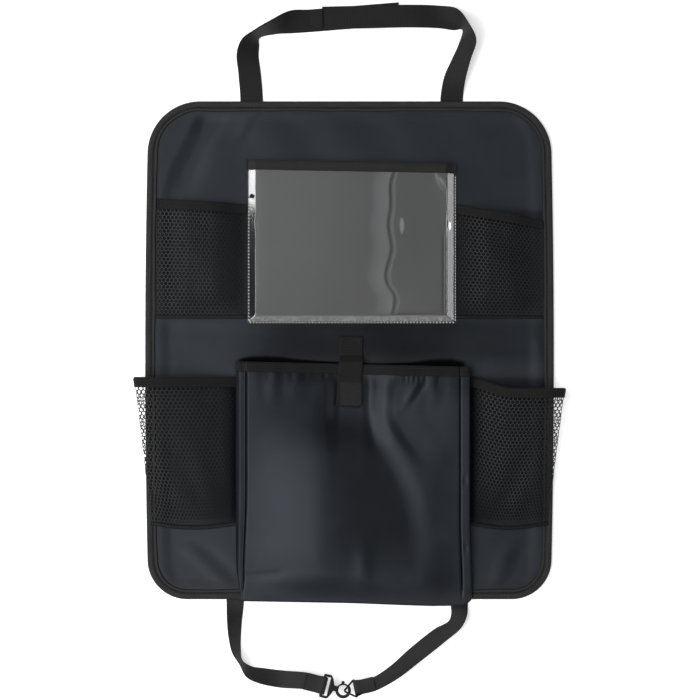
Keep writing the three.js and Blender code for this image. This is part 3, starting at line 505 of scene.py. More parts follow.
def make_piece(name, points, faces, material, node=None, slot=None, uv=None, smooth=True):
    """A mesh object from points in millimetres about the panel's centre. It rides on the root body."""
    mesh = bpy.data.meshes.new(name)
    faces = np.asarray(faces, dtype=np.int32)
    mesh.vertices.add(len(points))
    mesh.vertices.foreach_set("co", ((points + CENTRE) * MM).astype(np.float32).ravel())
    mesh.loops.add(faces.size)
    mesh.loops.foreach_set("vertex_index", faces.ravel())
    mesh.polygons.add(len(faces))
    mesh.polygons.foreach_set("loop_start", np.arange(0, faces.size, faces.shape[1], dtype=np.int32))
    mesh.update(calc_edges=True)
    mesh.polygons.foreach_set("use_smooth", np.full(len(faces), smooth))
    if uv is not None:
        layer = mesh.uv_layers.new(name="cloth")
        layer.data.foreach_set("uv", (uv[faces.ravel()] * MM).astype(np.float32).ravel())
    mesh.materials.append(material)
    piece = bpy.data.objects.new(name, mesh)
    bpy.context.collection.objects.link(piece)
    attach(piece, "root")
    if node:
        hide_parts(node)
    print(name, len(faces), "faces")
    return piece


def mark(piece, name, values):
    """A number for each vertex, which a finish reads by name."""
    attribute = piece.data.attributes.new(name, "FLOAT", "POINT")
    attribute.data.foreach_set("value", np.asarray(values, dtype=np.float32))


# %% [markdown]
# ## Stitches
# Sewing shows as a row of short thread lengths that dip into the cloth at both ends. One stitch is a
# few-sided bar with its ends drawn in, and the whole row is that bar repeated along a path, each copy
# turned to the path's direction, all in one array.

# %% Stitch maker
STITCH_SIDES = 6
THREAD_RADIUS = 0.32


def stitch_row(path, out, length=2.6, pitch=3.4, radius=THREAD_RADIUS):
    """Stitches along a path of points. out gives the direction off the cloth at each point."""
    along = path_lengths(path)
    centres = np.arange(pitch / 2, along[-1], pitch)

    def at(lengths, values):
        return np.stack([np.interp(lengths, along, values[:, k]) for k in range(3)], axis=-1)

    middle = at(centres, path)
    travel = at(centres + 0.5, path) - at(centres - 0.5, path)
    travel /= np.linalg.norm(travel, axis=1, keepdims=True)
    up = at(centres, out)
    up -= travel * np.sum(up * travel, axis=1, keepdims=True)
    up /= np.linalg.norm(up, axis=1, keepdims=True)
    side = np.cross(up, travel)
    stations = np.array([-0.5, -0.3, 0.3, 0.5]) * length
    girth = np.array([0.35, 1, 1, 0.35]) * radius
    lift = np.array([-0.8, 0.1, 0.1, -0.8]) * radius
    angle = np.arange(STITCH_SIDES) * 2 * np.pi / STITCH_SIDES
    forward = stations[:, None] + 0 * angle
    sideways = girth[:, None] * np.cos(angle)
    upwards = girth[:, None] * np.sin(angle) + lift[:, None]
    parts = zip([forward, sideways, upwards], [travel, side, up])
    bar = sum(part.ravel()[None, :, None] * direction[:, None] for part, direction in parts)
    points = middle[:, None] + bar
    rings = len(stations)
    tube = grid_faces(rings, STITCH_SIDES, loop_columns=True)[:, ::-1]
    first = np.arange(STITCH_SIDES)
    last = first + (rings - 1) * STITCH_SIDES
    caps = [first[[0, 1, 2, 3]], first[[0, 3, 4, 5]], last[[3, 2, 1, 0]], last[[5, 4, 3, 0]]]
    tube = np.vstack([tube, caps])
    count = len(middle)
    faces = tube[None] + (np.arange(count) * rings * STITCH_SIDES)[:, None, None]
    return points.reshape(-1, 3), faces.reshape(-1, 4)


def join(*meshes):
    """Several point and face arrays as one."""
    starts = np.cumsum([0] + [len(points) for points, _ in meshes])
    points = np.vstack([points for points, _ in meshes])
    faces = np.vstack([faces + start for start, (_, faces) in zip(starts, meshes)])
    return points, faces


def stitches_on(surface, a, b, w, **sizes):
    """A stitch row over a surface, along the lengths a and b, at a distance w out of the cloth."""
    a, b = np.broadcast_arrays(np.asarray(a, float), np.asarray(b, float))
    out = normals(surface, a, b)
    return stitch_row(surface(a, b) + w * out, out, **sizes)


# %% [markdown]
# ## The panel
# A stiffened board covered in cloth, full thickness inside its binding and squeezed thin at the rim.
# It was folded for shipping, so it lies in long soft swells. The swells only go down from the full
# thickness, because the pockets lie 0.3 mm above it.

# %% Panel sizes
PANEL_THICKNESS = 3.0
TOP_CORNER, BOTTOM_CORNER = 58.0, 44.0
SIDE_BOW = 2.5
BINDING_WIDTH = 11.0
TAPE = 0.6
SEAM_GAP = 0.3
BINDING_LOW = 1.5
BINDING_TOP = PANEL_THICKNESS + SEAM_GAP + TAPE
SIDE_LOW = BOTTOM_CORNER - HALF_HEIGHT
SIDE_HIGH = HALF_HEIGHT - TOP_CORNER
SIDE_HALF_WIDTH = HALF_WIDTH - SIDE_BOW


def side_at(y):
    """Half the panel's width at a height: a parabola that bows out between the corners."""
    share = np.clip((y - SIDE_LOW) / (SIDE_HIGH - SIDE_LOW), 0, 1)
    return SIDE_HALF_WIDTH + 4 * SIDE_BOW * share * (1 - share)


def half_width(y, inset):
    """Half width of the outline moved in by inset: the side, less a quarter circle at each corner."""
    corner = np.where(y > 0, TOP_CORNER, BOTTOM_CORNER) - inset
    into = np.clip(np.abs(y) - (HALF_HEIGHT - inset - corner), 0, corner)
    return side_at(y) - inset - corner + np.sqrt(corner**2 - into**2)


def panel_swell(x, y):
    """Soft folds in the board's cloth, down to 2.3 mm: bells up beside bells down, and slow waves."""
    corner = 0.93 * (x + 168) - 0.37 * (y - 252)
    corner_fold = 2.0 * fold(corner, -17, 13, 13) * smoothstep(y, 160, 195)
    second = 0.9 * (x + 108) - 0.43 * (y - 250)
    second_fold = 0.3 * fold(second, -6, 4, 6) * smoothstep(y, 215, 240)
    slant = x + 0.45 * y
    waves = 0.42 * np.sin(slant / 17 + 1.2 * np.sin(y / 63)) * np.sin(y / 88 + x / 190 + 0.6)
    waves += 0.3 * np.sin(x / 12.5 + 1.5 * np.sin(y / 40) + y / 75) * smoothstep(y, 170, 225)
    low = 0.7 * (x + 137) + 0.7 * (y + 247)
    low_fold = 0.5 * fold(low, -8, 6, 7) * smoothstep(-y, 205, 225)
    right = x - 0.35 * (y + 240)
    right_fold = 0.5 * fold(right, 166, 182, 8) * smoothstep(-y, 200, 225)
    middle_fold = 0.35 * fold(y + 0.05 * x, 24, 12, 6)
    folds = corner_fold + second_fold + low_fold + right_fold + middle_fold
    return np.clip(folds + waves - 1.0, -2.3, -0.02)


# the main pocket's mouth: its height in the middle, and how far it slants to each side
MOUTH_TOP = -15.2
MOUTH_SLANT = 2.75
# the painted shadow in the gap over that mouth: places across, and how far up it shows
GAP_PLACES = [-124, -110, -92, -74, -57, -29, -12, 17, 42, 69, 95, 113, 126, 132]
GAP_DEPTHS = [3.0, 7.5, 9.5, 8.8, 5.8, 3.4, 3.2, 2.0, 2.5, 5.0, 10.5, 11.5, 7.0, 0.5]


def panel_shade(x, y):
    """How dark the panel's cloth is for want of light: over the main pocket's mouth, behind the nets,
    beside the main pocket and between the two rows of pockets."""
    gap = np.interp(x, GAP_PLACES, GAP_DEPTHS)
    over = y - MOUTH_TOP + MOUTH_SLANT * x / 117
    mouth = 0.95 * fade(over, 0.45 * gap, 1.2 * gap) * smoothstep(over, -14, -8)
    mouth = mouth * smoothstep(x, -127, -118) * fade(x, 124, 132)
    aside = np.abs(x)
    behind_upper = smoothstep(aside, 108, 118) * smoothstep(y, 34, 42) * fade(y, 150, 158)
    behind_lower = smoothstep(aside, 118, 124) * smoothstep(y, -192, -184) * fade(y, -36, -26)
    between = smoothstep(y, -20, 0) * fade(y, 24, 44) * smoothstep(x, -150, -60)
    between = between * (1 - 0.5 * smoothstep(x, 90, 140))
    beside = behind_lower * fade(aside - x / 32, 128, 146)
    nets = np.maximum(0.45 * behind_upper, 0.5 * behind_lower)
    return np.maximum.reduce([mouth, nets, 0.9 * beside, 0.55 * between])


# %% Make the panel
PANEL_ROWS, PANEL_COLUMNS, MOUTH_ROWS = 180, 156, 14


def panel():
    inset = 0.9
    reach = HALF_HEIGHT - inset
    even = np.linspace(-1, 1, PANEL_ROWS)
    # rows crowd towards the top and bottom edges, where the outline turns fastest, and at the mouth
    y = np.sin(even * np.pi / 2) * reach * 0.35 + even * reach * 0.65
    y = np.sort(np.r_[y, np.linspace(MOUTH_TOP - 1, MOUTH_TOP + 11, MOUTH_ROWS)])
    share = np.linspace(-1, 1, PANEL_COLUMNS)
    faces = grid_faces(len(y), len(share))
    y, share = np.meshgrid(y, share, indexing="ij")
    x = share * half_width(y, inset)
    edge = np.minimum(side_at(y) - np.abs(x), HALF_HEIGHT - np.abs(y))
    corner_edge = half_width(y, 0) - np.abs(x)
    edge = np.minimum(edge, corner_edge * 0.8)
    inside = smoothstep(edge, BINDING_WIDTH + 0.5, BINDING_WIDTH + 12)
    top = PANEL_THICKNESS + panel_swell(x, y) * inside
    low = np.where(edge > BINDING_WIDTH + 0.4, 0.05, 2.4)
    count = x.size
    points = np.vstack([np.stack([x, y, z], -1).reshape(-1, 3) for z in (low, top)])
    faces = two_layers(faces, count)
    piece = make_piece("organizer_panel", points, faces, panel_cloth, "back_panel", "panel_cloth")
    mark(piece, "shade", np.r_[np.zeros(count), panel_shade(x, y).ravel()])


panel()

# %% [markdown]
# ## The binding
# One tape folded over the panel's rim and sewn through. Its section is an outer line and an inner
# line 0.6 mm apart, round at the fold, carried round the outline. The sewing draws it in, so it is
# plump between its two rows of stitches and puckers a little all along.


# %% Outline path and folded tape
def outline_path(count):
    """Points and outward directions round the outline, evenly spaced by length."""
    quarter = np.linspace(0, np.pi / 2, 60)
    low, high = BOTTOM_CORNER, TOP_CORNER

    def corner(sx, sy, radius, start):
        angle = start + quarter
        middle = np.array([sx * (SIDE_HALF_WIDTH - radius), sy * (HALF_HEIGHT - radius)])
        return middle + radius * np.stack([np.cos(angle), np.sin(angle)], -1)

    rise = np.linspace(SIDE_LOW, SIDE_HIGH, 200)[1:-1]
    right = np.stack([side_at(rise), rise], -1)
    left = np.stack([-side_at(rise), rise], -1)[::-1]
    rough = np.vstack(
        [
            corner(1, -1, low, -np.pi / 2),
            right,
            corner(1, 1, high, 0),
            corner(-1, 1, high, np.pi / 2),
            left,
            corner(-1, -1, low, np.pi),
        ]
    )
    rough = np.vstack([rough, rough[:1]])
    along = path_lengths(rough)
    even = np.linspace(0, along[-1], count, endpoint=False)
    path = np.stack([np.interp(even, along, rough[:, k]) for k in range(2)], -1)
    travel = np.roll(path, -2, axis=0) - np.roll(path, 2, axis=0)
    travel /= np.linalg.norm(travel, axis=1, keepdims=True)
    out = np.stack([travel[:, 1], -travel[:, 0]], -1)
    return path, out, even


def folded_tape(depth, thickness, plump, groove, legs, turn):
    """Outer and inner line of a tape folded round a layer: two legs joined by a half circle.

    Each line holds (inset from the fold, distance out of the cloth), at legs points on a leg and
    turn points on the half circle, both ends counted. The front leg swells by plump between the fold
    and the stitches in its groove, and by half of that beyond them.
    """
    reach = thickness / 2 + SEAM_GAP
    angle = np.linspace(-np.pi / 2, np.pi / 2, turn)[1:-1]
    radius = reach + TAPE
    straight = lerp(depth, radius, np.linspace(0, 1, legs))
    first = np.sin(np.pi * np.clip(straight / groove, 0, 1))
    second = 0.5 * np.sin(np.pi * np.clip((straight - groove) / (depth - groove), 0, 1))
    swell = plump * (first + second)

    def line(r):
        back = np.stack([straight, np.full(legs, thickness / 2 - r)], -1)
        turned_part = np.stack([radius - r * np.cos(angle), thickness / 2 + r * np.sin(angle)], -1)
        front = np.stack([straight, thickness / 2 + r + swell], -1)[::-1]
        return np.vstack([back, turned_part, front])

    return line(radius), line(reach)


# %% Make the binding
EDGE_GROOVE = 7.2
EDGE_STEPS = 1300


def edge_binding():
    path, out, along = outline_path(EDGE_STEPS)
    rim = PANEL_THICKNESS - (BINDING_LOW + TAPE + SEAM_GAP)
    legs, turn = 19, 6
    outer, inner = folded_tape(BINDING_WIDTH, rim, 0.5, EDGE_GROOVE, legs, turn)
    inner = inner[::-1]
    bent = legs + turn - 2
    # only the outer line's front leg is seen, so the other legs keep every sixth point
    section = np.vstack([outer[:legs:6], outer[legs:], inner[:legs:6], inner[legs:bent], inner[bent::6]])
    d = section[None, :, 0]
    dimples = -(0.45 + 0.2 * np.cos(along * 2 * np.pi / 3.8))[:, None] * hump(d, EDGE_GROOVE, 0.9)
    long_waves = 0.14 * np.sin(along / 11 + np.sin(along / 29)) + 0.1 * np.sin(along / 4.7 + 2)
    waver = 0.35 * np.sin(along / 23) + 0.25 * np.sin(along / 9.1 + 2)
    inset = d + waver[:, None] * smoothstep(d, 5, 11)
    front = smoothstep(section[:, 1], rim, rim + SEAM_GAP + TAPE)
    rough = front * (dimples + np.abs(long_waves[:, None]))
    height = BINDING_LOW + TAPE + SEAM_GAP + section[None, :, 1] + rough
    flat = path[:, None] - out[:, None] * inset[..., None]
    points = np.concatenate([flat, height[..., None]], -1)
    points = points.reshape(-1, 3)
    faces = grid_faces(EDGE_STEPS, len(section), loop_rows=True, loop_columns=True)[:, ::-1]
    uv = np.stack(np.broadcast_arrays(path_lengths(section)[None], along[:, None]), -1).reshape(-1, 2)
    tape = make_piece("edge_tape", points, faces, edge_tape, "edge_binding", "binding_tape", uv)
    along_variation = 0.6 + 0.4 * np.sin(along / 7.3 + np.sin(along / 31))[:, None]
    # painted shade in the stitched groove, varying along the tape, and at the tape's inner edge
    mark(tape, "groove", (0.8 * hump(d, EDGE_GROOVE, 0.9) * along_variation + smoothstep(d, 10.0, 10.8)).ravel())
    # a pale band near the fold that varies along the tape, and a painted highlight on the narrow line
    # between the groove and the inner edge
    mark(tape, "pale_band_and_highlight", (0.35 * hump(d, 9.2, 0.6) + 0.25 * hump(d, 3, 2.5) * along_variation).ravel())
    rows = []
    for from_fold, level in ((EDGE_GROOVE, BINDING_TOP + 0.05), (2.2, BINDING_TOP + 0.3)):
        line = np.c_[path - out * from_fold, np.full(EDGE_STEPS, level)]
        rows.append(stitch_row(line, np.tile([0, 0, 1.0], (EDGE_STEPS, 1)), length=2.6, pitch=3.8))
    make_piece("edge_stitches", *join(*rows), black_thread)


edge_binding()

# %% [markdown]
# ## The clear pocket
# A sheet of vinyl sewn to the panel on three sides. A tablet would fill it; empty, it puffs up
# steeply beside its stitches, lies nearly level between them, and keeps one long ripple of its
# folding, a slow ramp with a quick fall that wanders from top to bottom. A mirror shows every slope,
# so the film is made of slopes: what the photo shows as a dark or bright line is a steep strip here.

# %% Clear pocket surface
FILM = 0.5
HEM_LIFT = TAPE + SEAM_GAP
film_low, film_high = box_mm("window_film")
WINDOW_WIDTH, WINDOW_HEIGHT = (film_high - film_low)[:2]
WINDOW_LEFT, WINDOW_BOTTOM = (film_low - CENTRE)[:2]
WINDOW_CROWN = 1.6
print("clear pocket", WINDOW_WIDTH.round(1), "by", WINDOW_HEIGHT.round(1))


def seat(b, height, hem):
    """Height of a sewn sheet over the panel, with room for its hem's back leg near the mouth."""
    return PANEL_THICKNESS + SEAM_GAP + HEM_LIFT * smoothstep(b, height - 2.5 * hem, height - hem)


# where the long ripple wanders: heights above the film's foot, and lengths from its left edge
RIPPLE_HEIGHTS = [-10, 10, 29, 42, 53, 83, 109, 130, 153, 165, 180]
RIPPLE_PLACES = [163, 164, 168.5, 159, 156, 164, 159, 163, 161.5, 165.5, 167]
# each sewn side: where its steep strip starts and ends, and how steep it is
LEFT_SIDE, RIGHT_SIDE, FOOT_SIDE = (2.4, 11.0, 0.56), (2.2, 10.6, 0.5), (2.2, 9.4, 0.58)
# how much higher the mouth's left end lies than its right end
WINDOW_SLANT = 4.4


def soft_ramp(x, knee):
    """0 before 0 and x after it, with a round knee."""
    return knee * np.logaddexp(0, x / knee)


def puffed_side(d, side, wider=0.0):
    """A sewn side of the film: flat at the stitches, steep from start to end, and level beyond."""
    start, end, slope = side
    return slope * (soft_ramp(d - start, 0.12) - soft_ramp(d - end - wider, 0.06))


def long_ripple(a, b):
    """The film's long ripple: a ramp that steepens, a quick fall, and a small quick rise. It wanders."""
    places = [np.interp(b + shift, RIPPLE_HEIGHTS, RIPPLE_PLACES) for shift in (-5, -2.5, 0, 2.5, 5)]
    d = a - sum(places) / len(places)
    sink = -0.6 * smoothstep(d, -125, -17)
    ramp = 1.6 * np.clip((d + 25) / 19, 0, 1) ** 1.5
    fall = -0.3 * smoothstep(d, -6.2, -3.4)
    rise = 0.3 * smoothstep(d, -1.2, 1.0)
    return sink + ramp + fall + rise - 0.15 * smoothstep(d, 4, 66)


def spot_of_light(a, b, place, half, turn_deg=0.0):
    """1 inside a small ellipse on the film, falling to 0 at its rim."""
    turn = np.radians(turn_deg)
    along = np.cos(turn) * (b - place[1]) - np.sin(turn) * (a - place[0])
    across = np.sin(turn) * (b - place[1]) + np.cos(turn) * (a - place[0])
    return fade(np.hypot(across / half[0], along / half[1]), 0.65, 1.1)


def glints(a, b):
    """The painted highlights on the film: a flash at the right, an oval, and a blob inside an arc."""
    flash = spot_of_light(a, b, (WINDOW_WIDTH - 7.0, 108.5), (1.5, 5.8))
    oval = spot_of_light(a, b, (170.5, 108), (2.8, 10))
    blob = spot_of_light(a, b, (214.5, 158), (2.0, 6.2), 37)
    arc = hump(np.hypot(a - 226, b - 161.6), 17.6, 1.1)
    arc = arc * fade(a, 222, 228) * fade(b, 162, 168)
    return np.maximum.reduce([flash, 0.2 * oval, 0.15 * blob, 0.1 * arc])


def window_surface(a, b):
    """The lowest of the three puffed sides, and on it the ripple, an arc and a crease by the mouth."""
    right = WINDOW_WIDTH - a
    waver = 0.5 * np.sin(b / 6.1) + 0.35 * np.sin(b / 2.7 + 1) + 0.4 * np.sin(b / 17)
    left_puff = puffed_side(a, LEFT_SIDE, waver + 2.8 * hump(b, 84, 42))
    right_puff = puffed_side(right, RIGHT_SIDE, 0.5 * waver - 1.2 * hump(b, 112, 9))
    puff = np.minimum(np.minimum(left_puff, right_puff), puffed_side(b, FOOT_SIDE))
    middle = smoothstep(np.minimum(a, right), 10, 112) * smoothstep(b, 9, 85)
    inside = smoothstep(a, 10, 16) * smoothstep(right, 9.5, 12) * smoothstep(b, 9, 14)
    arc = 0.42 * fade(np.hypot(a - 232, b - 172), 24, 26.5)
    crease = 0.3 * smoothstep(a, 217, 219.5) - 0.25 * smoothstep(a, 214.5, 216)
    crease = crease * fade(b, 92, 112)
    ripples = (long_ripple(a, b) + arc + crease) * inside
    knee = 0.3 * (1 - np.exp(-np.maximum(a - 11, 0) / 6)) * smoothstep(b, 8, 30)
    dent = -0.5 * hump(a, 6, 1.8) * hump(b, 136, 1.8)
    crown = WINDOW_CROWN * middle * (1 + 0.05 * np.sin(a / 38) * np.cos(b / 44))
    lift = PANEL_THICKNESS + SEAM_GAP + HEM_LIFT * smoothstep(b, 0, WINDOW_HEIGHT - BINDING_WIDTH)
    z = lift + puff + crown + ripples + knee + dent
    slant = WINDOW_SLANT * (0.5 - a / WINDOW_WIDTH) * b / WINDOW_HEIGHT
    return np.stack([WINDOW_LEFT + a, WINDOW_BOTTOM + b + slant, z], -1)


# %% [markdown]
# Every pocket's mouth is bound with the same folded tape, so one function makes it for all of them. It
# bends the tape's section onto the pocket's own surface, and the tape follows each sag and pucker.


# %% Hem tape for any pocket mouth
def run_tape(across, height, thickness, depth, surface):
    """A folded tape along a mouth at b = height, bent onto the surface. Returns points, faces and UV."""
    outer, inner = folded_tape(depth, thickness, 0.35, depth - 2.2, legs=9, turn=7)
    section = np.vstack([outer, inner[::-1]])
    section[:, 0] = height + SEAM_GAP + TAPE - section[:, 0]
    columns = len(section)
    a = np.repeat(across, columns)
    b = np.tile(section[:, 0], len(across))
    w = np.tile(section[:, 1], len(across))
    points = bend(np.stack([a, b, w], -1), surface)
    uv = np.stack([np.tile(path_lengths(section), len(across)), a], -1)
    return points, capped_tube(len(across), columns), uv


def hem(name, node, across, height, thickness, depth, surface, material=hem_tape):
    """A mouth's tape with a row of stitches near its lower edge and one near its fold."""
    points, faces, uv = run_tape(across, height, thickness, depth, surface)
    tape = make_piece(name, points, faces, material, node, "binding_tape", uv)
    front = thickness + SEAM_GAP + TAPE
    rows = [
        stitches_on(surface, across, height + SEAM_GAP + TAPE - depth + 2.2, front + 0.12, pitch=3.2),
        stitches_on(surface, across, height - 2.0, front + 0.35, pitch=3.2),
    ]
    sewing = make_piece(f"{name}_stitches", *join(*rows), black_thread)
    return tape, sewing


# %% Make the clear pocket
def clear_pocket():
    # columns and rows are close together on the steep strips beside the stitches
    flat_rim = np.linspace(0, 2, 4)[:-1]
    side_columns = np.r_[flat_rim, np.linspace(2, 14, 36)]
    middle = np.linspace(14, WINDOW_WIDTH - 14, 160)[1:-1]
    a = np.r_[side_columns, middle, WINDOW_WIDTH - side_columns[::-1]]
    b = np.r_[flat_rim, np.linspace(2, 12, 22), np.linspace(12, WINDOW_HEIGHT, 112)[1:]]
    lengths, faces = layout(*flat_grid(a, b), 0, FILM)
    points = bend(lengths, window_surface)
    film = make_piece("clear_pocket_film", points, faces, film_material, "window_film", "clear_film")
    across, up, _ = lengths.T
    from_side = np.minimum(across, WINDOW_WIDTH - across)
    mark(film, "scuff", 0.3 * fade(up, 7.6, 8.4) * smoothstep(up, 1.0, 2.6))
    mark(film, "glare", glints(across, up))
    mark(film, "seam", fade(np.minimum(from_side, up + 0.6), 1.9, 2.6))
    upright = np.linspace(2.2, WINDOW_HEIGHT - 13, 120)
    level = np.linspace(2.2, WINDOW_WIDTH - 2.2, 160)
    wide = {"length": 1.2, "pitch": 3.6, "radius": 0.75}
    close = {"length": 1.9, "pitch": 3.2, "radius": 0.55}
    hole = {"length": 1.5, "pitch": 3.2, "radius": 0.65}
    rows = [
        stitches_on(window_surface, 2.4, upright, FILM + 0.2, **wide),
        stitches_on(window_surface, WINDOW_WIDTH - 0.6, upright, FILM + 0.3, **close),
        stitches_on(window_surface, level, 1.0, FILM + 0.2, **wide),
    ]
    make_piece("clear_pocket_stitches", *join(*rows), film_thread)
    holes = stitches_on(window_surface, WINDOW_WIDTH - 1.9, upright, FILM + 0.25, **hole)
    make_piece("clear_pocket_needle_holes", *holes, black_thread)
    mouth = (a[::3], WINDOW_HEIGHT, FILM, BINDING_WIDTH)
    hem("clear_pocket_tape", "window_binding", *mouth, window_surface, pale_tape)


clear_pocket()

# %% [markdown]
# ## The nets
# Knitted mesh is a field of small six-sided gaps. Each gap is one cell of a honeycomb: a border of
# twelve points shared with its neighbours, and a ring of twelve points round its gap. Clipping the
# honeycomb to the pocket's flat cut squares off its edge without leaving a hole open. A net of real
# gaps shows the floor through it where a mouth stands out past the panel.

# %% Net layout
NET = 0.42
GAP_PITCH = 4.6
ROW_PITCH = 3.8
STRAND = 0.8
NET_HEM = 11.0
FOOT_STRIP = 4.0


def honeycomb(width, height):
    """Flat points, faces and area of a net: every cell's border and gap, with equal points merged."""
    columns = int(round(width / GAP_PITCH))
    rows = int(round(height / ROW_PITCH / 2)) * 2
    pitch, step = width / columns, height / rows
    corners = np.array([[0, -2 / 3], [0.5, -1 / 3], [0.5, 1 / 3], [0, 2 / 3], [-0.5, 1 / 3], [-0.5, -1 / 3]])
    middles = (corners + np.roll(corners, -1, axis=0)) / 2
    border = np.stack([corners, middles], 1).reshape(-1, 2) * [pitch, step]
    angle = np.arctan2(border[:, 1] / step, border[:, 0] / pitch)
    reach = np.array([pitch / 2, step * 0.61]) - STRAND / 2
    gap = np.stack([np.cos(angle), np.sin(angle)], -1) * reach * 1.04
    row, column = np.meshgrid(np.arange(rows + 1), np.arange(columns + 1), indexing="ij")
    shift = np.where(row % 2 == 0, 0.5, 0.0)
    keep = (column < columns) | (row % 2 == 1)
    centre = np.stack([(column + shift) * pitch, row * step], -1)[keep]
    limit = np.array([width, height])
    borders = np.clip(centre[:, None] + border, 0, limit)
    gaps = np.clip(centre[:, None] + gap, STRAND / 2, limit - STRAND / 2)
    cells = np.concatenate([borders, gaps], 1)
    flat, index = np.unique(np.round(cells.reshape(-1, 2), 3), axis=0, return_inverse=True)
    index = index.reshape(-1, 24)
    ring, inner = index[:, :12], index[:, 12:]
    faces = np.stack([ring, np.roll(ring, -1, 1), np.roll(inner, -1, 1), inner], -1).reshape(-1, 4)
    a, b = flat[faces, 0], flat[faces, 1]
    area = np.sum(a * np.roll(b, -1, 1) - b * np.roll(a, -1, 1), 1) / 2
    whole = area > 1e-4
    return flat, faces[whole], area[whole].sum()


def seam_strip(name, surface, width):
    """The cloth edge folded under at a pocket's foot: a narrow double layer with one stitch row."""
    across = np.linspace(0, width, 80)
    low = NET + 0.25
    lengths, faces = layout(*flat_grid(across, np.linspace(0, FOOT_STRIP, 5)), low, low + 0.5)
    points = bend(lengths, surface)
    strip = make_piece(name, points, faces, panel_cloth, None, "panel_cloth")
    mark(strip, "shade", np.full(len(points), 0.5))
    row = stitches_on(surface, across, FOOT_STRIP / 2, low + 0.62, pitch=3.2)
    return strip, make_piece(f"{name}_stitches", *row, black_thread)


def net_pocket(level, side, width, height, surface, shade, steps, held):
    """A net bent onto its surface, with its mouth's tape and its foot's strip.

    shade takes the distance from the net's outer seam and the height above its foot.
    """
    word = "left" if side < 0 else "right"
    flat, faces, solid = honeycomb(width, height)
    lengths, faces = layout(flat, faces, 0.1, 0.1 + NET)
    points = bend(lengths, surface)
    node = f"{level}_net_{word}"
    net = make_piece(f"{level}_mesh_{word}", points, faces, net_material, node, "net", smooth=False)
    from_outside = lengths[:, 0] if side < 0 else width - lengths[:, 0]
    mark(net, "shade", shade(from_outside, lengths[:, 1]))
    mouth = (np.linspace(0, width, steps), height, NET + 0.2, NET_HEM)
    tapes = hem(f"{level}_mesh_tape_{word}", f"{level}_net_hem_{word}", *mouth, surface)
    strips = seam_strip(f"{level}_mesh_foot_{word}", surface, width)
    width * MM
    max(solid, 0.31 * width * height) * MM * MM


# %% [markdown]
# The upper nets lie between the clear pocket and the binding and stand off the panel by a finger's
# width. The right one's mouth sags at its outer end, as in the photo.

# %% Upper net pockets
UPPER_BOTTOM = 35.0
UPPER_HEIGHT = 129.0
UPPER_BULGE, UPPER_RUN = 10.0, 38.0
# how far the left and the right mouth lie above a straight cut, at the clear pocket and at the binding
UPPER_LEANS = {-1: (-4.2, 2.0), 1: (-4.0, -22.2)}


def upper_surface(side):
    """Width and surface of an upper net: flat at its seams, lifted by smooth steps within."""
    window_middle = WINDOW_LEFT + WINDOW_WIDTH / 2
    window_edge = side * window_middle + WINDOW_WIDTH / 2 + 2 * SEAM_GAP
    width = side_at(UPPER_BOTTOM) - BINDING_WIDTH - 2 * SEAM_GAP - window_edge

    def surface(a, b):
        share = 1 - a / width if side < 0 else a / width
        y = UPPER_BOTTOM + b * (1 + lerp(*UPPER_LEANS[side], share) / UPPER_HEIGHT)
        outer = side_at(y) - BINDING_WIDTH - 2 * SEAM_GAP
        lift = smoothstep(np.minimum(a, width - a), 0, UPPER_RUN) * smoothstep(b, 0, UPPER_RUN)
        sway = 1 + 0.1 * np.sin(a / 11 + b / 23) * np.sin(b / 31)
        z = seat(b, UPPER_HEIGHT, NET_HEM) + UPPER_BULGE * lift * sway
        return np.stack([side * lerp(window_edge, outer, share), y, z], -1)

    return width, surface


def upper_net(side):
    """An upper net, darker beside the clear pocket, where it lies low."""
    width, surface = upper_surface(side)

    def shade(from_outside, up):
        return 0.4 * fade(width - from_outside, 4, 30)

    net_pocket("upper", side, width, UPPER_HEIGHT, surface, shade, 90, "stretched")


upper_net(-1)
upper_net(1)

# %% [markdown]
# The lower nets are cut wider than their place, so their mouths stand out past the panel's side. The
# cross-section is a cubic Bezier curve from the seam on the binding, out and up, and back down to the
# seam under the main pocket. Points are spaced along it by length, or the mesh would crowd at one end.

# %% Lower net pockets
LOWER_BOTTOM = -192.0
LOWER_HEIGHT = 162.0
LOWER_DEPTH = 24.0
# how far a mouth stands out, and the height and the share of it where the even flare starts
LOWER_FLARE, FLARE_FOOT, FLARE_START = 12.0, 66.0, 0.46
LOWER_FLAT_WIDTH = 118.0
LOWER_FOOT_SAG = 5.0
LOWER_RIGHT_SAG = 12.0
MAIN_WIDTH = 256.0
MAIN_CENTRE_X = 4.0
NET_TUCK = 2.0
SOLID_NET = 0.8


def bezier(t, corners):
    """A cubic Bezier curve, from the four Bernstein weights of t."""
    weights = [(1 - t) ** 3, 3 * t * (1 - t) ** 2, 3 * t * t * (1 - t), t**3]
    return sum(weight * corner for weight, corner in zip(weights, corners))


def even_bezier(share, xs, zs, samples=25):
    """The curve's point at a share of its length, for many curves at once."""
    t = np.linspace(0, 1, samples)[:, None]
    x, z = bezier(t, xs), bezier(t, zs)
    steps = np.hypot(np.diff(x, axis=0), np.diff(z, axis=0))
    length = np.vstack([np.zeros((1, x.shape[1])), np.cumsum(steps, 0)])
    wanted = share * length[-1]
    above = np.clip((length <= wanted).sum(0), 1, samples - 1)
    column = np.arange(x.shape[1])
    before, after = length[above - 1, column], length[above, column]
    exact = (above - 1 + np.clip((wanted - before) / np.maximum(after - before, 1e-9), 0, 1)) / (samples - 1)
    return bezier(exact, xs), bezier(exact, zs)


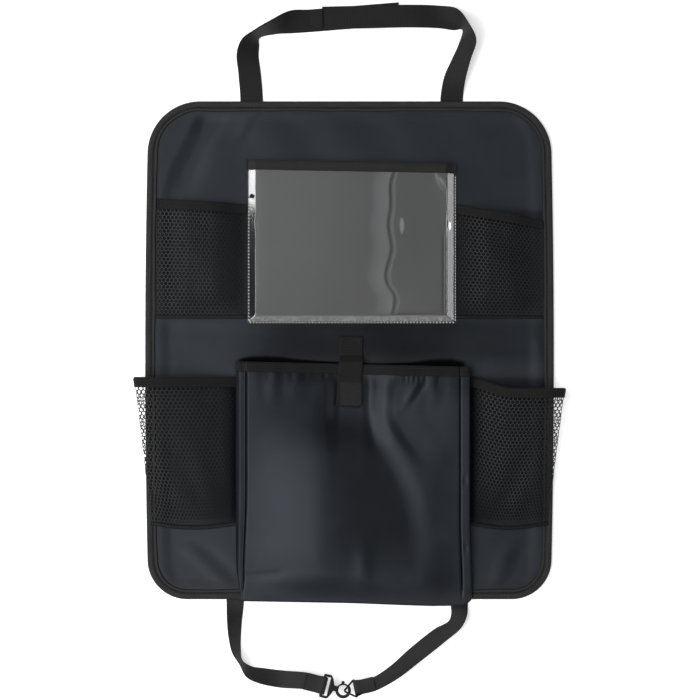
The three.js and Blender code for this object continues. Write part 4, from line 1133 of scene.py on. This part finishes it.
def lower_surface(side):
    """A lower net's surface: at each height one curve from the binding's seam to the pocket's seam.

    The curve's two middle corners stand out and up, so the net bulges and its mouth flares.
    """
    sag = LOWER_RIGHT_SAG if side > 0 else 0.0
    pocket_fold = MAIN_WIDTH / 2 + side * MAIN_CENTRE_X

    def surface(a, b):
        a, b = np.broadcast_arrays(np.asarray(a, float), np.asarray(b, float))
        share = np.clip(a / LOWER_FLAT_WIDTH, 0, 1)
        t = share if side < 0 else 1 - share
        opened = b / LOWER_HEIGHT
        foot_sag = LOWER_FOOT_SAG * np.sin(np.pi * t) * (1 - opened)
        mouth_sag = sag * smoothstep(1 - t, 0, 0.4) * opened
        y = LOWER_BOTTOM + b - foot_sag - mouth_sag
        depth = LOWER_DEPTH * (0.35 * smoothstep(b, 0, 40) + 0.65 * opened)
        start = FLARE_START * smoothstep(b, 10, FLARE_FOOT)
        rest = (1 - FLARE_START) * np.maximum(0, b - FLARE_FOOT) / (LOWER_HEIGHT - FLARE_FOOT)
        flare = LOWER_FLARE * (start + rest)
        lift = HEM_LIFT * smoothstep(b, LOWER_HEIGHT - 2.5 * NET_HEM, LOWER_HEIGHT - NET_HEM)
        outer_x = side_at(y) - BINDING_WIDTH / 2
        outer_z = BINDING_TOP + SEAM_GAP + SOLID_NET + lift
        inner_x = pocket_fold - NET_TUCK + 0 * y
        inner_z = PANEL_THICKNESS + SEAM_GAP + lift
        xs = [outer_x, outer_x + 3.9 * flare - 4, outer_x - 6, inner_x]
        zs = [outer_z, outer_z + 0.5 * depth, outer_z + 1.25 * depth, inner_z]
        x, z = even_bezier(t.ravel(), [v.ravel() for v in xs], [v.ravel() for v in zs])
        waves = 0.8 * np.sin(t * 17 + b / 21) * np.sin(b / 34) * np.sin(np.pi * t) ** 2
        z = z.reshape(y.shape) + waves * smoothstep(b, 8, 40) * fade(b, 120, 145)
        return np.stack([side * x.reshape(y.shape), y, z], -1)

    return surface


def lower_shade(from_outside, up):
    """A lower net is darker beside the main pocket and in its inner corner at the foot."""
    corner = smoothstep(from_outside, 50, 100) * fade(up, 20, 80)
    return np.maximum(0.85 * smoothstep(from_outside, 96, 112), 0.6 * corner)


for side in (-1, 1):
    flat_size = (LOWER_FLAT_WIDTH, LOWER_HEIGHT)
    net_pocket("lower", side, *flat_size, lower_surface(side), lower_shade, 140, "gathered")

# %% [markdown]
# ## The main pocket
# One cloth: a front, and down each side a gusset folded flat so that the pocket can open. Its mouth
# is gathered into the binding and pulled to the panel by the closure strap. A surface like the
# solid's carries it, with the folds that the photo shows added as smooth steps and bells: a broad
# swell on the left, a valley below the strap and a crease that runs down to the right.

# %% Main pocket surface
CLOTH = 0.8
MAIN_FRONT = 234.0
MAIN_HEIGHT = 261.0
FOOT_OVERHANG = 3.0
MAIN_BOTTOM = -HALF_HEIGHT - FOOT_OVERHANG
MAIN_DEPTH, FOLDED_STACK, MAIN_CROWN = 12.0, 2.6, 2.5
GUSSET_TUCK = 12.0
MOUTH_DIP = 0.68
GATHERS = 8
GATHER_HEIGHT, GATHER_RUN = 0.36, 55.0
CLOSURE_X, CLOSURE_WIDTH, CLOSURE_TAIL = 1.5, 26.0, 46.0
GUSSET_LEG = GUSSET_TUCK + 2
GUSSET_RISE = (MAIN_WIDTH - MAIN_FRONT) / 2 + 2
MAIN_FLAT = MAIN_FRONT + 2 * (GUSSET_LEG + GUSSET_RISE)


def main_seat(b):
    plain = PANEL_THICKNESS + SEAM_GAP + CLOTH
    over_binding = BINDING_TOP + SEAM_GAP + CLOTH
    foot = lerp(over_binding, plain, smoothstep(b, 18, 40))
    mouth = smoothstep(b, MAIN_HEIGHT - 2.5 * BINDING_WIDTH, MAIN_HEIGHT - BINDING_WIDTH)
    return lerp(foot, plain + HEM_LIFT, mouth)


def main_depth(b):
    return lerp(FOLDED_STACK, MAIN_DEPTH, smoothstep(b, 0, 75))


# where the diagonal crease has its crest: distances below the mouth, and places across the front
CREST_DOWN = [-40, 0, 28, 56, 72, 88, 105, 138, 182, 261, 300]
CREST_PLACES = [38, 36, 34, 31, 40, 52, 63, 80, 89, 96, 98]
# small puckers below the binding: place across, width, depth and how far down they reach
PUCKERS = [
    (-92, 3.6, 0.45, 26),
    (-67, 3.0, 0.5, 28),
    (-53, 3.5, 0.5, 24),
    (-31, 2.2, 0.7, 24),
    (-12, 2.6, 0.4, 24),
    (57, 1.6, 0.6, 24),
    (62, 1.5, 0.7, 25),
    (67.5, 1.5, 0.7, 24),
    (73, 1.7, 0.6, 25),
    (79, 1.6, 0.6, 23),
    (93, 3.0, 0.6, 30),
]


def photo_folds(x, b):
    """The folds of the photo: a broad swell, a dark valley, and a crease that runs down to the right."""
    down = MAIN_HEIGHT - b
    shifts = (-12, -6, 0, 6, 12)
    crest = sum(np.interp(down + shift, CREST_DOWN, CREST_PLACES) for shift in shifts) / len(shifts)
    upper = smoothstep(down, 4, 26)
    lower = smoothstep(b, 0, 75)
    fading = fade(down, 120, 200)
    swell = (4.4 + 3.2 * smoothstep(down, 40, 140)) * smoothstep(x, -MAIN_FRONT / 2, -30)
    swell = swell * smoothstep(b, 0, 34)
    swell -= 8.4 * smoothstep(x, -46, crest - 12) * lower
    rise = (1.2 + 1.7 * fading) * smoothstep(x, crest - 30, crest + 1)
    drop = -2.3 * smoothstep(x, crest, crest + 13) * fade(down, 78, 118)
    plateau = 1.4 * smoothstep(x, crest + 12, crest + 45) * fade(down, 90, 150)
    big = (swell + (rise + drop + plateau) * lower) * upper
    slanted = 0.86 * (x - 67) + 0.51 * (down - 31)
    curved = 0.8 * fold(slanted, -3.5, 3.5, 3.5) * hump(down, 30, 13)
    low_ridge = 1.1 * hump(x, 11, 9) * hump(down, 220, 26) * smoothstep(b, 0, 20)
    low_fold = -0.7 * hump(down - 231 + 0.1 * (x + 100), 0, 4) * fade(x, -84, -70)
    return big + curved + low_ridge + low_fold


def main_front(x, b):
    """Height of the front over the gusset's seam at a distance x from the pocket's middle."""
    down = MAIN_HEIGHT - b
    across = np.cos(np.pi * x / MAIN_FRONT)
    from_strap = np.abs(x + MAIN_CENTRE_X - CLOSURE_X) - CLOSURE_WIDTH / 2
    free = smoothstep(from_strap, 2, np.where(x < CLOSURE_X - MAIN_CENTRE_X, 100, 38))
    near_mouth = smoothstep(b, MAIN_HEIGHT - 2.2 * CLOSURE_TAIL, MAIN_HEIGHT - CLOSURE_TAIL)
    dip = 1 - MOUTH_DIP * near_mouth * (1 - free)
    gathered = smoothstep(b, MAIN_HEIGHT - GATHER_RUN, MAIN_HEIGHT - 1.5 * BINDING_WIDTH)
    ripple = np.cos(2 * np.pi * GATHERS * x / MAIN_FRONT + np.sin(x / 14)) * smoothstep(from_strap, 4, 20)
    pucker = 0.0
    for place_across, wide, deep, reach in PUCKERS:
        lean = 0.08 * (down - 12) * np.sin(place_across)
        pucker = pucker - deep * hump(x, place_across + lean, wide) * fade(down, 11, reach)
    pucker = pucker * smoothstep(down, 8, 10.5)
    edge = smoothstep(MAIN_FRONT / 2 - np.abs(x), 2, 20)
    right_edge = smoothstep(MAIN_FRONT / 2 - x, 2, 44)
    crown = MAIN_CROWN * across * smoothstep(b, 0, 110)
    pinch = -3.0 * hump(np.abs(x), MAIN_FRONT / 2, 1.2)
    # the closure strap holds the cloth below it flat, and lets it go below its tail
    held = smoothstep(b, MAIN_HEIGHT - 3 * CLOSURE_TAIL, MAIN_HEIGHT - CLOSURE_TAIL)
    flat_x = lerp(CLOSURE_X - MAIN_CENTRE_X, x, smoothstep(from_strap, -2, 16))
    folds = photo_folds(lerp(x, flat_x, held), b) * right_edge
    height = (main_depth(b) + crown) * dip + GATHER_HEIGHT * ripple * gathered * edge
    return height + folds + pucker * edge + pinch * smoothstep(b, 4, 30)


# how far the pocket's foot sags, at places across the front
FOOT_PLACES = [-117, 0, 60, 85, 117]
FOOT_SAGS = [-1.5, 0.7, 3.0, 3.8, 3.4]


def main_surface(a, b):
    """The front, then each gusset: up to its fold at half depth, and back in to its seam."""
    a, b = np.broadcast_arrays(np.asarray(a, float), np.asarray(b, float))
    x = a - MAIN_FLAT / 2
    side = np.where(x < 0, -1.0, 1.0)
    beyond = np.abs(x) - MAIN_FRONT / 2
    rise = np.clip(beyond / GUSSET_RISE, 0, 1)
    leg = np.maximum(beyond - GUSSET_RISE, 0) / GUSSET_LEG
    out = np.where(beyond < 0, np.abs(x), lerp(MAIN_FRONT / 2, MAIN_WIDTH / 2, rise) - GUSSET_TUCK * leg)
    depth = main_depth(b)
    pinch = -3.0 * hump(beyond, 0, 1.2) * smoothstep(b, 4, 30)
    kinks = 1.2 * (hump(b, 136, 5) + hump(b, 61, 5)) * (side > 0) * np.sin(np.pi * rise)
    level = lerp(depth, depth * 0.5, smoothstep(rise, 0, 0.3) * 0.55 + smoothstep(rise, 0.6, 1) * 0.45)
    level = np.where(side > 0, lerp(depth, depth * 0.5, smoothstep(rise, 0.85, 1)), level)
    gusset = np.where(leg > 0, depth * (0.5 - 0.5 * leg), level + pinch - kinks)
    height = np.where(beyond < 0, main_front(np.clip(x, -MAIN_FRONT / 2, MAIN_FRONT / 2), b), gusset)
    # as it lies, the mouth slants, the foot sags to the right, and the gussets lean at the foot
    sag = np.interp(x, FOOT_PLACES, FOOT_SAGS) * fade(b, 0, 60)
    slant = MOUTH_SLANT * np.clip(x / 117, -1, 1) * smoothstep(b, 60, MAIN_HEIGHT)
    cut = 8 * rise**2 * (side > 0) * fade(b, 0, 28)
    y = MAIN_BOTTOM + b - sag - slant + cut
    left_lean = lerp(4.0 * fade(b, 0, 130), -4.5 * fade(b, 0, 42), rise)
    right_lean = 2.5 * fade(b, 15, 90)
    lean = np.where(side < 0, left_lean, right_lean) * smoothstep(np.abs(x), 60, MAIN_FRONT / 2)
    return np.stack([MAIN_CENTRE_X + side * (out + lean), y, main_seat(b) + height], -1)


# %% Make the main pocket
def pocket_shade(x, b):
    """How dark the pocket's cloth is for want of light: most at its two front seams, and a little in
    the valley, on the left gusset, under the mouth and on the slopes that turn from the lights."""
    crest = np.interp(MAIN_HEIGHT - b, CREST_DOWN, CREST_PLACES)
    seams = hump(np.abs(x), MAIN_FRONT / 2, 1.1) * smoothstep(b, 2, 20)
    valley = smoothstep(x, -50, 0) * fade(x, crest - 32, crest - 8) * smoothstep(b, 15, 70)
    left_gusset = smoothstep(-x, MAIN_FRONT / 2, MAIN_FRONT / 2 + 2)
    below_mouth = smoothstep(b, MAIN_HEIGHT - 48, MAIN_HEIGHT - 14)
    upper_left = smoothstep(b, MAIN_HEIGHT - 150, MAIN_HEIGHT - 60) * fade(x, -30, 0)
    low_right = smoothstep(x, 40, 75) * fade(b, 50, 120) * smoothstep(b, 5, 30)
    dim = 0.3 * np.maximum.reduce([valley, left_gusset, below_mouth])
    return np.maximum.reduce([0.6 * seams, dim, 0.2 * upper_left, 0.1 * low_right])


def main_pocket():
    # columns are close together on the gussets and beside the front's seams
    start = GUSSET_LEG + GUSSET_RISE
    near = start + 7
    runs = [(0, GUSSET_LEG, 5), (GUSSET_LEG, start, 16), (start, near, 12)]
    edge_a = np.r_[[0.0], *(np.linspace(*run)[1:] for run in runs)]
    a = np.r_[edge_a, np.linspace(near, MAIN_FLAT - near, 152)[1:-1], MAIN_FLAT - edge_a[::-1]]
    b = np.r_[np.linspace(0, MAIN_HEIGHT - 40, 110)[:-1], np.linspace(MAIN_HEIGHT - 40, MAIN_HEIGHT, 50)]
    lengths, faces = layout(*flat_grid(a, b), 0, CLOTH)
    points = bend(lengths, main_surface)
    pocket = make_piece("main_pocket_cloth", points, faces, panel_cloth, "main_pocket", "panel_cloth")
    mark(pocket, "shade", pocket_shade(lengths[:, 0] - MAIN_FLAT / 2, lengths[:, 1]))
    mouth = (a[::2], MAIN_HEIGHT, CLOTH, BINDING_WIDTH)
    tape, sewing = hem("main_pocket_tape", "main_pocket_binding", *mouth, main_surface)


main_pocket()

# %% [markdown]
# ## Webbing
# Straps are flat bands through given stations: a centre, the direction across the strap seen
# from above, and how far that side stands up. A strap that stands on edge looks narrow from above,
# which is how the photo shows the twists. A centripetal Catmull-Rom curve joins the stations, since
# it never loops where they lie close together.

# %% Bands through stations
WEBBING = 1.2


def curve_through(stations, count):
    """Centripetal Catmull-Rom through points, with count steps between each two."""
    before = 2 * stations[:1] - stations[1:2]
    after = 2 * stations[-1:] - stations[-2:-1]
    p = np.vstack([before, stations, after])
    p0, p1, p2, p3 = p[:-3], p[1:-2], p[2:-1], p[3:]
    gaps = np.linalg.norm(np.diff(p, axis=0), axis=1, keepdims=True)
    roots = np.sqrt(np.maximum(gaps, 1e-4))
    d0, d1, d2 = roots[:-2], roots[1:-1], roots[2:]
    leave = ((p1 - p0) / d0 - (p2 - p0) / (d0 + d1) + (p2 - p1) / d1) * d1
    arrive = ((p2 - p1) / d1 - (p3 - p1) / (d1 + d2) + (p3 - p2) / d2) * d1
    t = np.linspace(0, 1, count, endpoint=False)[None, :, None]
    p1, p2, leave, arrive = (v[:, None] for v in (p1, p2, leave, arrive))
    squared = 3 * (p2 - p1) - 2 * leave - arrive
    cubed = 2 * (p1 - p2) + leave + arrive
    body = p1 + leave * t + squared * t**2 + cubed * t**3
    return np.vstack([body.reshape(-1, 3), stations[-1:]])


def place(x, y, across_deg, tilt_deg, width, height=None):
    """A station: its centre and the unit vector across. Without a height its low edge is on the floor."""
    turn, tilt = np.radians([across_deg, tilt_deg])
    across = [np.cos(turn) * np.cos(tilt), np.sin(turn) * np.cos(tilt), np.sin(tilt)]
    rest = (abs(np.sin(tilt)) * width + np.cos(tilt) * WEBBING) / 2
    return np.array([x, y, rest if height is None else height]), np.array(across)


def route(width, rows):
    """Stations of one strap. A row holds x, y, the turn and the tilt, and the height if it is stated."""
    return [place(*row[:4], width, *row[4:]) for row in rows]


def band(name, node, stations, width, count=14, material=webbing):
    """Webbing: a flat section with round edges, carried along the curve of its two edges."""
    centres = np.array([centre for centre, _ in stations])
    across = np.array([direction for _, direction in stations])
    left = curve_through(centres - across * width / 2, count)
    right = curve_through(centres + across * width / 2, count)
    middle = (left + right) / 2
    side = (right - left) / 2
    travel = np.gradient(middle, axis=0)
    out = np.cross(side, travel)
    out /= np.linalg.norm(out, axis=1, keepdims=True)
    # the section's first number is a share of the half width, its second one is in millimetres
    angle = np.linspace(0, np.pi, 6) - np.pi / 2
    half = WEBBING / 2
    edge = 1 - half / (width / 2)
    straight = np.linspace(-1, 1, 13)[1:-1] * edge
    round_edge = np.stack([edge + np.cos(angle) * half / (width / 2), np.sin(angle) * half], -1)
    top = np.stack([straight[::-1], np.full(len(straight), half)], -1)
    section = np.vstack([round_edge, top, -round_edge, -top])
    points = middle[:, None] + side[:, None] * section[None, :, :1] + out[:, None] * section[None, :, 1:]
    points[..., 2] = np.maximum(points[..., 2], 0)
    faces = capped_tube(*points.shape[:2])[:, ::-1]
    along = path_lengths(middle)
    uv = np.stack(np.broadcast_arrays(section[None, :, 0] * width / 2, along[:, None]), -1).reshape(-1, 2)
    make_piece(name, points.reshape(-1, 3), faces, material, node, "webbing", uv)
    return left, right, out


# %% [markdown]
# The headrest strap is two bands that lap over each other and grip by hook and loop tape. Their
# roots go in under the top binding.

# %% Headrest strap
STRAP_ROOT = HALF_HEIGHT - BINDING_WIDTH
HEADREST_WIDTH = 25.0
PATCH = 0.8
LAPPED_HEIGHT = WEBBING * 1.5 + 2 * PATCH + 3 * SEAM_GAP
LAP_LEFT, LAP_RIGHT = np.array([-44.0, 363.0]), np.array([55.0, 371.0])
LAP_ANGLE = np.arctan2(*(LAP_RIGHT - LAP_LEFT)[::-1])
LAP_TURN = np.degrees(LAP_ANGLE) - 90

left_rows = [
    (-107.8, STRAP_ROOT, 0, 0),
    (-108, 280, 0, 0),
    (-110, 305, -1, -4),
    (-112, 325, -4, -16),
    (-108.5, 338, -16, -41),
    (-101.5, 346.5, -48, -74),
    (-84, 354.2, -70, -60),
    (-64, 361.3, LAP_TURN, -14),
    (*LAP_LEFT, LAP_TURN, 0),
    (LAP_LEFT[0] + 25, LAP_LEFT[1] + 25 * np.tan(LAP_ANGLE), LAP_TURN, 0),
    (*LAP_RIGHT, LAP_TURN, 0),
]
right_rows = [
    (112.5, STRAP_ROOT, 0, 0),
    (112.8, 280, 0, 0),
    (116, 300, -8, 20),
    (123, 320, -9, 38),
    (129.5, 338.5, 8, 42),
    (127, 355.2, 36, 75),
    (116.5, 363.7, 84, 27),
    (98, 367, 90, 0, 2 * WEBBING),
    (65, 367.6, 91, 0, LAPPED_HEIGHT),
    (20, 366.6, 91, 0, LAPPED_HEIGHT),
    (-30, 365.5, 91, 0, LAPPED_HEIGHT),
]
for word, rows in (("left", left_rows), ("right", right_rows)):
    stations = route(HEADREST_WIDTH, rows)
    band(f"headrest_band_{word}", f"headrest_strap_{word}", stations, HEADREST_WIDTH)


# %% [markdown]
# The patches of hook and loop tape are thin flat rectangles that hardly show. Their solids have the
# true form already, so their own meshes are copied, and only the finish is new.


# %% Hook and loop patches
def copy_node(name, node, material):
    """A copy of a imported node's own mesh, with a finish of this scene."""
    piece = bpy.data.objects.new(name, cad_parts[node].data.copy())
    bpy.context.collection.objects.link(piece)
    piece.data.materials.clear()
    piece.data.materials.append(material)
    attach(piece, "root")
    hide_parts(node)
    return piece


# a patch is a plain box, and the small bumps of its pile come from its finish
for node in ("headrest_hook_patch", "headrest_loop_patch", "closure_hook_patch", "closure_loop_patch"):
    copy_node(f"{node}_pile", node, patch_material)

# %% [markdown]
# The lower strap is narrower. Each half is folded round its bar, the hook's on the left and the
# ring's on the right, and sewn back on itself.

# %% Lower strap, hook and ring places
LOWER_WIDTH = 19.0
FOLD_TAIL = 20.0
HOOK_THICKNESS, HOOK_BAR = 2.8, 3.4
HOOK_TURN, RING_TURN, RING_TILT = np.radians([-14, 14, -50])
RING_WIRE = 1.1
RING_LENGTH = 13.0
RING_HALF = LOWER_WIDTH / 2 + RING_WIRE + 1.5
LINK_HEIGHT = RING_HALF * abs(np.sin(RING_TILT)) + RING_WIRE + SEAM_GAP
HOOK_ORIGIN = np.array([-29, -367.5, LINK_HEIGHT])
# from the middle of the hook's bar to the ring's narrow end, which lies inside the hook's bend
RING_REACH = HOOK_BAR / 2 + 24.2 - RING_WIRE


def turned(vector, angle):
    """A vector turned about the vertical."""
    x, y, z = vector
    return np.array([x * np.cos(angle) - y * np.sin(angle), x * np.sin(angle) + y * np.cos(angle), z])


RING_APEX = HOOK_ORIGIN + turned((RING_REACH, 0, 0), HOOK_TURN)


def ring_point(along, out):
    """A point in the ring's tilted plane: along from its narrow end, and out across it."""
    return RING_APEX + turned((along, out * np.cos(RING_TILT), out * np.sin(RING_TILT)), RING_TURN)


def wrap_round(bar, across, ahead, radius):
    """Stations of a strap that passes under a bar, round it and back over itself."""
    out = np.cross(across, ahead)
    layer = (WEBBING + SEAM_GAP) / 2
    steps = [
        (-FOLD_TAIL, -layer),
        (-radius * 2.2, -layer * 1.4),
        (-radius * 0.8, -radius * 0.9),
        (0, -radius),
        (radius * 0.72, -radius * 0.72),
        (radius, 0),
        (radius * 0.72, radius * 0.72),
        (0, radius),
        (-radius * 0.8, radius * 0.9),
        (-radius * 2.2, layer * 1.4),
        (-FOLD_TAIL, layer),
    ]
    return [(bar + ahead * forward + out * up, across) for forward, up in steps]


left_rows = [
    (-126, -STRAP_ROOT, 180, 0),
    (-126, -280, 180, 0),
    (-126.4, -298, 180, 34),
    (-126, -314, 182, 48),
    (-124, -330, 190, 64),
    (-119.1, -342.3, 222, 83),
    (-110.2, -352.8, 240, 57),
    (-98, -357.4, 254, 36),
    (-75, -361.8, 262, 12),
]
right_rows = [
    (121, -STRAP_ROOT, 180, 0),
    (121, -280, 180, 0),
    (120.5, -291, 178, -26),
    (116, -301, 158, -40),
    (100, -313, 135, -24),
    (71, -336, 128, -24),
    (50, -353, 122, -40),
]
hook_radius = np.hypot(HOOK_BAR, HOOK_THICKNESS) / 2 + SEAM_GAP + WEBBING / 2
hook_across, hook_ahead = turned((0, -1, 0), HOOK_TURN), turned((1, 0, 0), HOOK_TURN)
hook_wrap = wrap_round(HOOK_ORIGIN, hook_across, hook_ahead, hook_radius)
ring_bar = ring_point(RING_LENGTH, 0)
ring_ahead = (ring_point(0, 0) - ring_bar) / RING_LENGTH
ring_across = ring_point(RING_LENGTH, 1) - ring_bar
ring_wrap = wrap_round(ring_bar, ring_across, ring_ahead, RING_WIRE + 2 * SEAM_GAP + WEBBING / 2)
for word, rows, wrap in (("left", left_rows, hook_wrap), ("right", right_rows, ring_wrap)):
    stations = [*route(LOWER_WIDTH, rows), *wrap]
    band(f"seat_band_{word}", f"seat_strap_{word}", stations, LOWER_WIDTH, 10, seat_webbing)

# %% [markdown]
# The hook is one moulding and the ring a bent wire. The hook's solid already has the right form, so a
# copy of it gets rounded edges from a Bevel modifier. The ring is made again as a smooth tube: eight
# points of its outline, closed, with a round section carried along them.


# %% Hook and ring
def moulded_hook():
    piece = copy_node("moulded_hook", "snap_hook", plastic_material)
    work = bmesh.new()
    work.from_mesh(piece.data)
    bmesh.ops.remove_doubles(work, verts=work.verts, dist=0.01 * MM)
    bmesh.ops.dissolve_limit(work, angle_limit=0.02, verts=work.verts, edges=work.edges)
    work.to_mesh(piece.data)
    work.free()
    bevel = piece.modifiers.new("rounded", "BEVEL")
    bevel.width = 0.45 * MM
    bevel.segments = 3
    bevel.limit_method = "ANGLE"
    bevel.angle_limit = np.radians(40)
    piece.data.shade_smooth()


def wire_ring():
    """A closed tube: the ring's outline, rounded by averaging its points, with a round section."""
    apex, half, shoulder = 2.4, RING_HALF, 2.0
    sides = 14
    corners = [
        (0, -apex * 0.5),
        (0, apex * 0.5),
        (apex * 0.5, apex),
        (RING_LENGTH - shoulder, half),
        (RING_LENGTH, half - shoulder),
        (RING_LENGTH, shoulder - half),
        (RING_LENGTH - shoulder, -half),
        (apex * 0.5, -apex),
    ]
    flat = np.array(corners)
    dense = np.linspace(0, len(flat), 160, endpoint=False)
    index = dense.astype(int)
    t = (dense - index)[:, None]
    path = lerp(flat[index % len(flat)], flat[(index + 1) % len(flat)], t)
    for _ in range(6):
        path = (np.roll(path, 1, 0) + 2 * path + np.roll(path, -1, 0)) / 4
    spine = np.array([ring_point(along, out) for along, out in path])
    normal = turned((0, -np.sin(RING_TILT), np.cos(RING_TILT)), RING_TURN)
    travel = np.roll(spine, -1, 0) - np.roll(spine, 1, 0)
    travel /= np.linalg.norm(travel, axis=1, keepdims=True)
    aside = np.cross(travel, normal)
    angle = np.arange(sides) * 2 * np.pi / sides
    section = aside[:, None] * np.cos(angle)[None, :, None] - normal * np.sin(angle)[None, :, None]
    points = (spine[:, None] + RING_WIRE * section).reshape(-1, 3)
    faces = grid_faces(len(spine), sides, loop_rows=True, loop_columns=True)[:, ::-1]
    make_piece("wire_ring", points, faces, plastic_material, "strap_ring", "moulded_plastic")


moulded_hook()
wire_ring()

# %% [markdown]
# ## The closure strap
# A short piece of the wider webbing, box-stitched to the panel above the pocket's mouth. It steps
# over the mouth's binding and grips the front by its patches, leaning a little to the left.

# %% Closure strap
ANCHOR_TOP, ANCHOR_LENGTH = 15.0, 21.0
CLOSURE_LEAN = 0.073


def over_main(b, w):
    """A place over the pocket's front, w out of the cloth, on the strap's leaning line."""
    lean = CLOSURE_LEAN * max(0.0, MAIN_HEIGHT - b)
    a = np.array([CLOSURE_X - MAIN_CENTRE_X + MAIN_FLAT / 2 - lean])
    b = np.array([float(b)])
    return (main_surface(a, b) + w * normals(main_surface, a, b))[0]


over_hem = CLOTH + 3 * SEAM_GAP + TAPE + WEBBING / 2
over_patches = CLOTH + 3 * SEAM_GAP + 2 * PATCH + WEBBING / 2
on_panel = PANEL_THICKNESS + SEAM_GAP + WEBBING / 2
foot = ANCHOR_TOP - ANCHOR_LENGTH
straight, leaning = np.array([-1.0, 0, 0]), np.array([-1.0, CLOSURE_LEAN, 0])
closure_stations = [
    (np.array([CLOSURE_X, ANCHOR_TOP, on_panel]), straight),
    (np.array([CLOSURE_X, foot + 1.5, on_panel]), straight),
    (np.array([CLOSURE_X, foot, on_panel]), straight),
    (over_main(MAIN_HEIGHT + 3.5, over_hem), straight),
    (over_main(MAIN_HEIGHT - 2, over_hem), straight),
    (over_main(MAIN_HEIGHT - BINDING_WIDTH, over_hem), leaning),
    (over_main(MAIN_HEIGHT - BINDING_WIDTH - 4, over_patches), leaning),
    (over_main(MAIN_HEIGHT - CLOSURE_TAIL / 2, over_patches), leaning),
    (over_main(MAIN_HEIGHT - CLOSURE_TAIL, over_patches), leaning),
]
closure_lines = band(
    "closure_band", "closure_strap", closure_stations, CLOSURE_WIDTH, 12, closure_webbing
)


def box_stitches():
    """A square of stitches with a cross in it on the anchor, and two rows across the tail."""
    low, high = foot + 3, ANCHOR_TOP - 3
    left, right = CLOSURE_X - 9.5, CLOSURE_X + 9.5
    over_webbing = WEBBING / 2 + 0.15
    size = {"length": 1.9, "pitch": 2.4}
    corners = np.array([[left, low], [right, low], [right, high], [left, high]])
    runs = [(0, 1), (1, 2), (2, 3), (3, 0), (0, 2), (1, 3)]
    rows = []
    for i, j in runs:
        run = lerp(corners[i], corners[j], np.linspace(0, 1, 12)[:, None])
        path = np.c_[run, np.full(12, on_panel + over_webbing)]
        rows.append(stitch_row(path, np.tile([0, 0, 1.0], (12, 1)), **size))
    left_line, right_line, out = closure_lines
    # the two rows on the tail, counted in steps along the strap
    for step in (68, 95):
        share = np.linspace(0.1, 0.9, 20)[:, None]
        facing = out[step] * np.sign(out[step][2])
        path = lerp(left_line[step], right_line[step], share) + facing * over_webbing
        rows.append(stitch_row(path, np.tile(facing, (20, 1)), **size))
    make_piece("closure_stitches", *join(*rows), black_thread)


box_stitches()

# %% [markdown]
# ## Floor
# A plain white sheet far wider than the view, so that every view has ground under the straps. It
# glows a little, which makes it pure white without more light on the black cloth.


# %% Floor
def floor():
    half = 6.0
    mesh = bpy.data.meshes.new("floor")
    corners = [(-half, -half, 0), (half, -half, 0), (half, half, 0), (-half, half, 0)]
    mesh.from_pydata(corners, [], [(0, 1, 2, 3)])
    paper = Finish("white_paper", Roughness=0.85, Emission_Color=(1, 1, 1, 1), Emission_Strength=0.44)
    grain = paper.noise(paper.place(), 700.0, 2.0)
    paper.feed("Base Color", paper.mix(grain, grey(0.93), grey(0.95)))
    mesh.materials.append(paper.material)
    sheet = bpy.data.objects.new("floor", mesh)
    bpy.context.collection.objects.link(sheet)
    sheet.location.z = -0.3 * MM


floor()
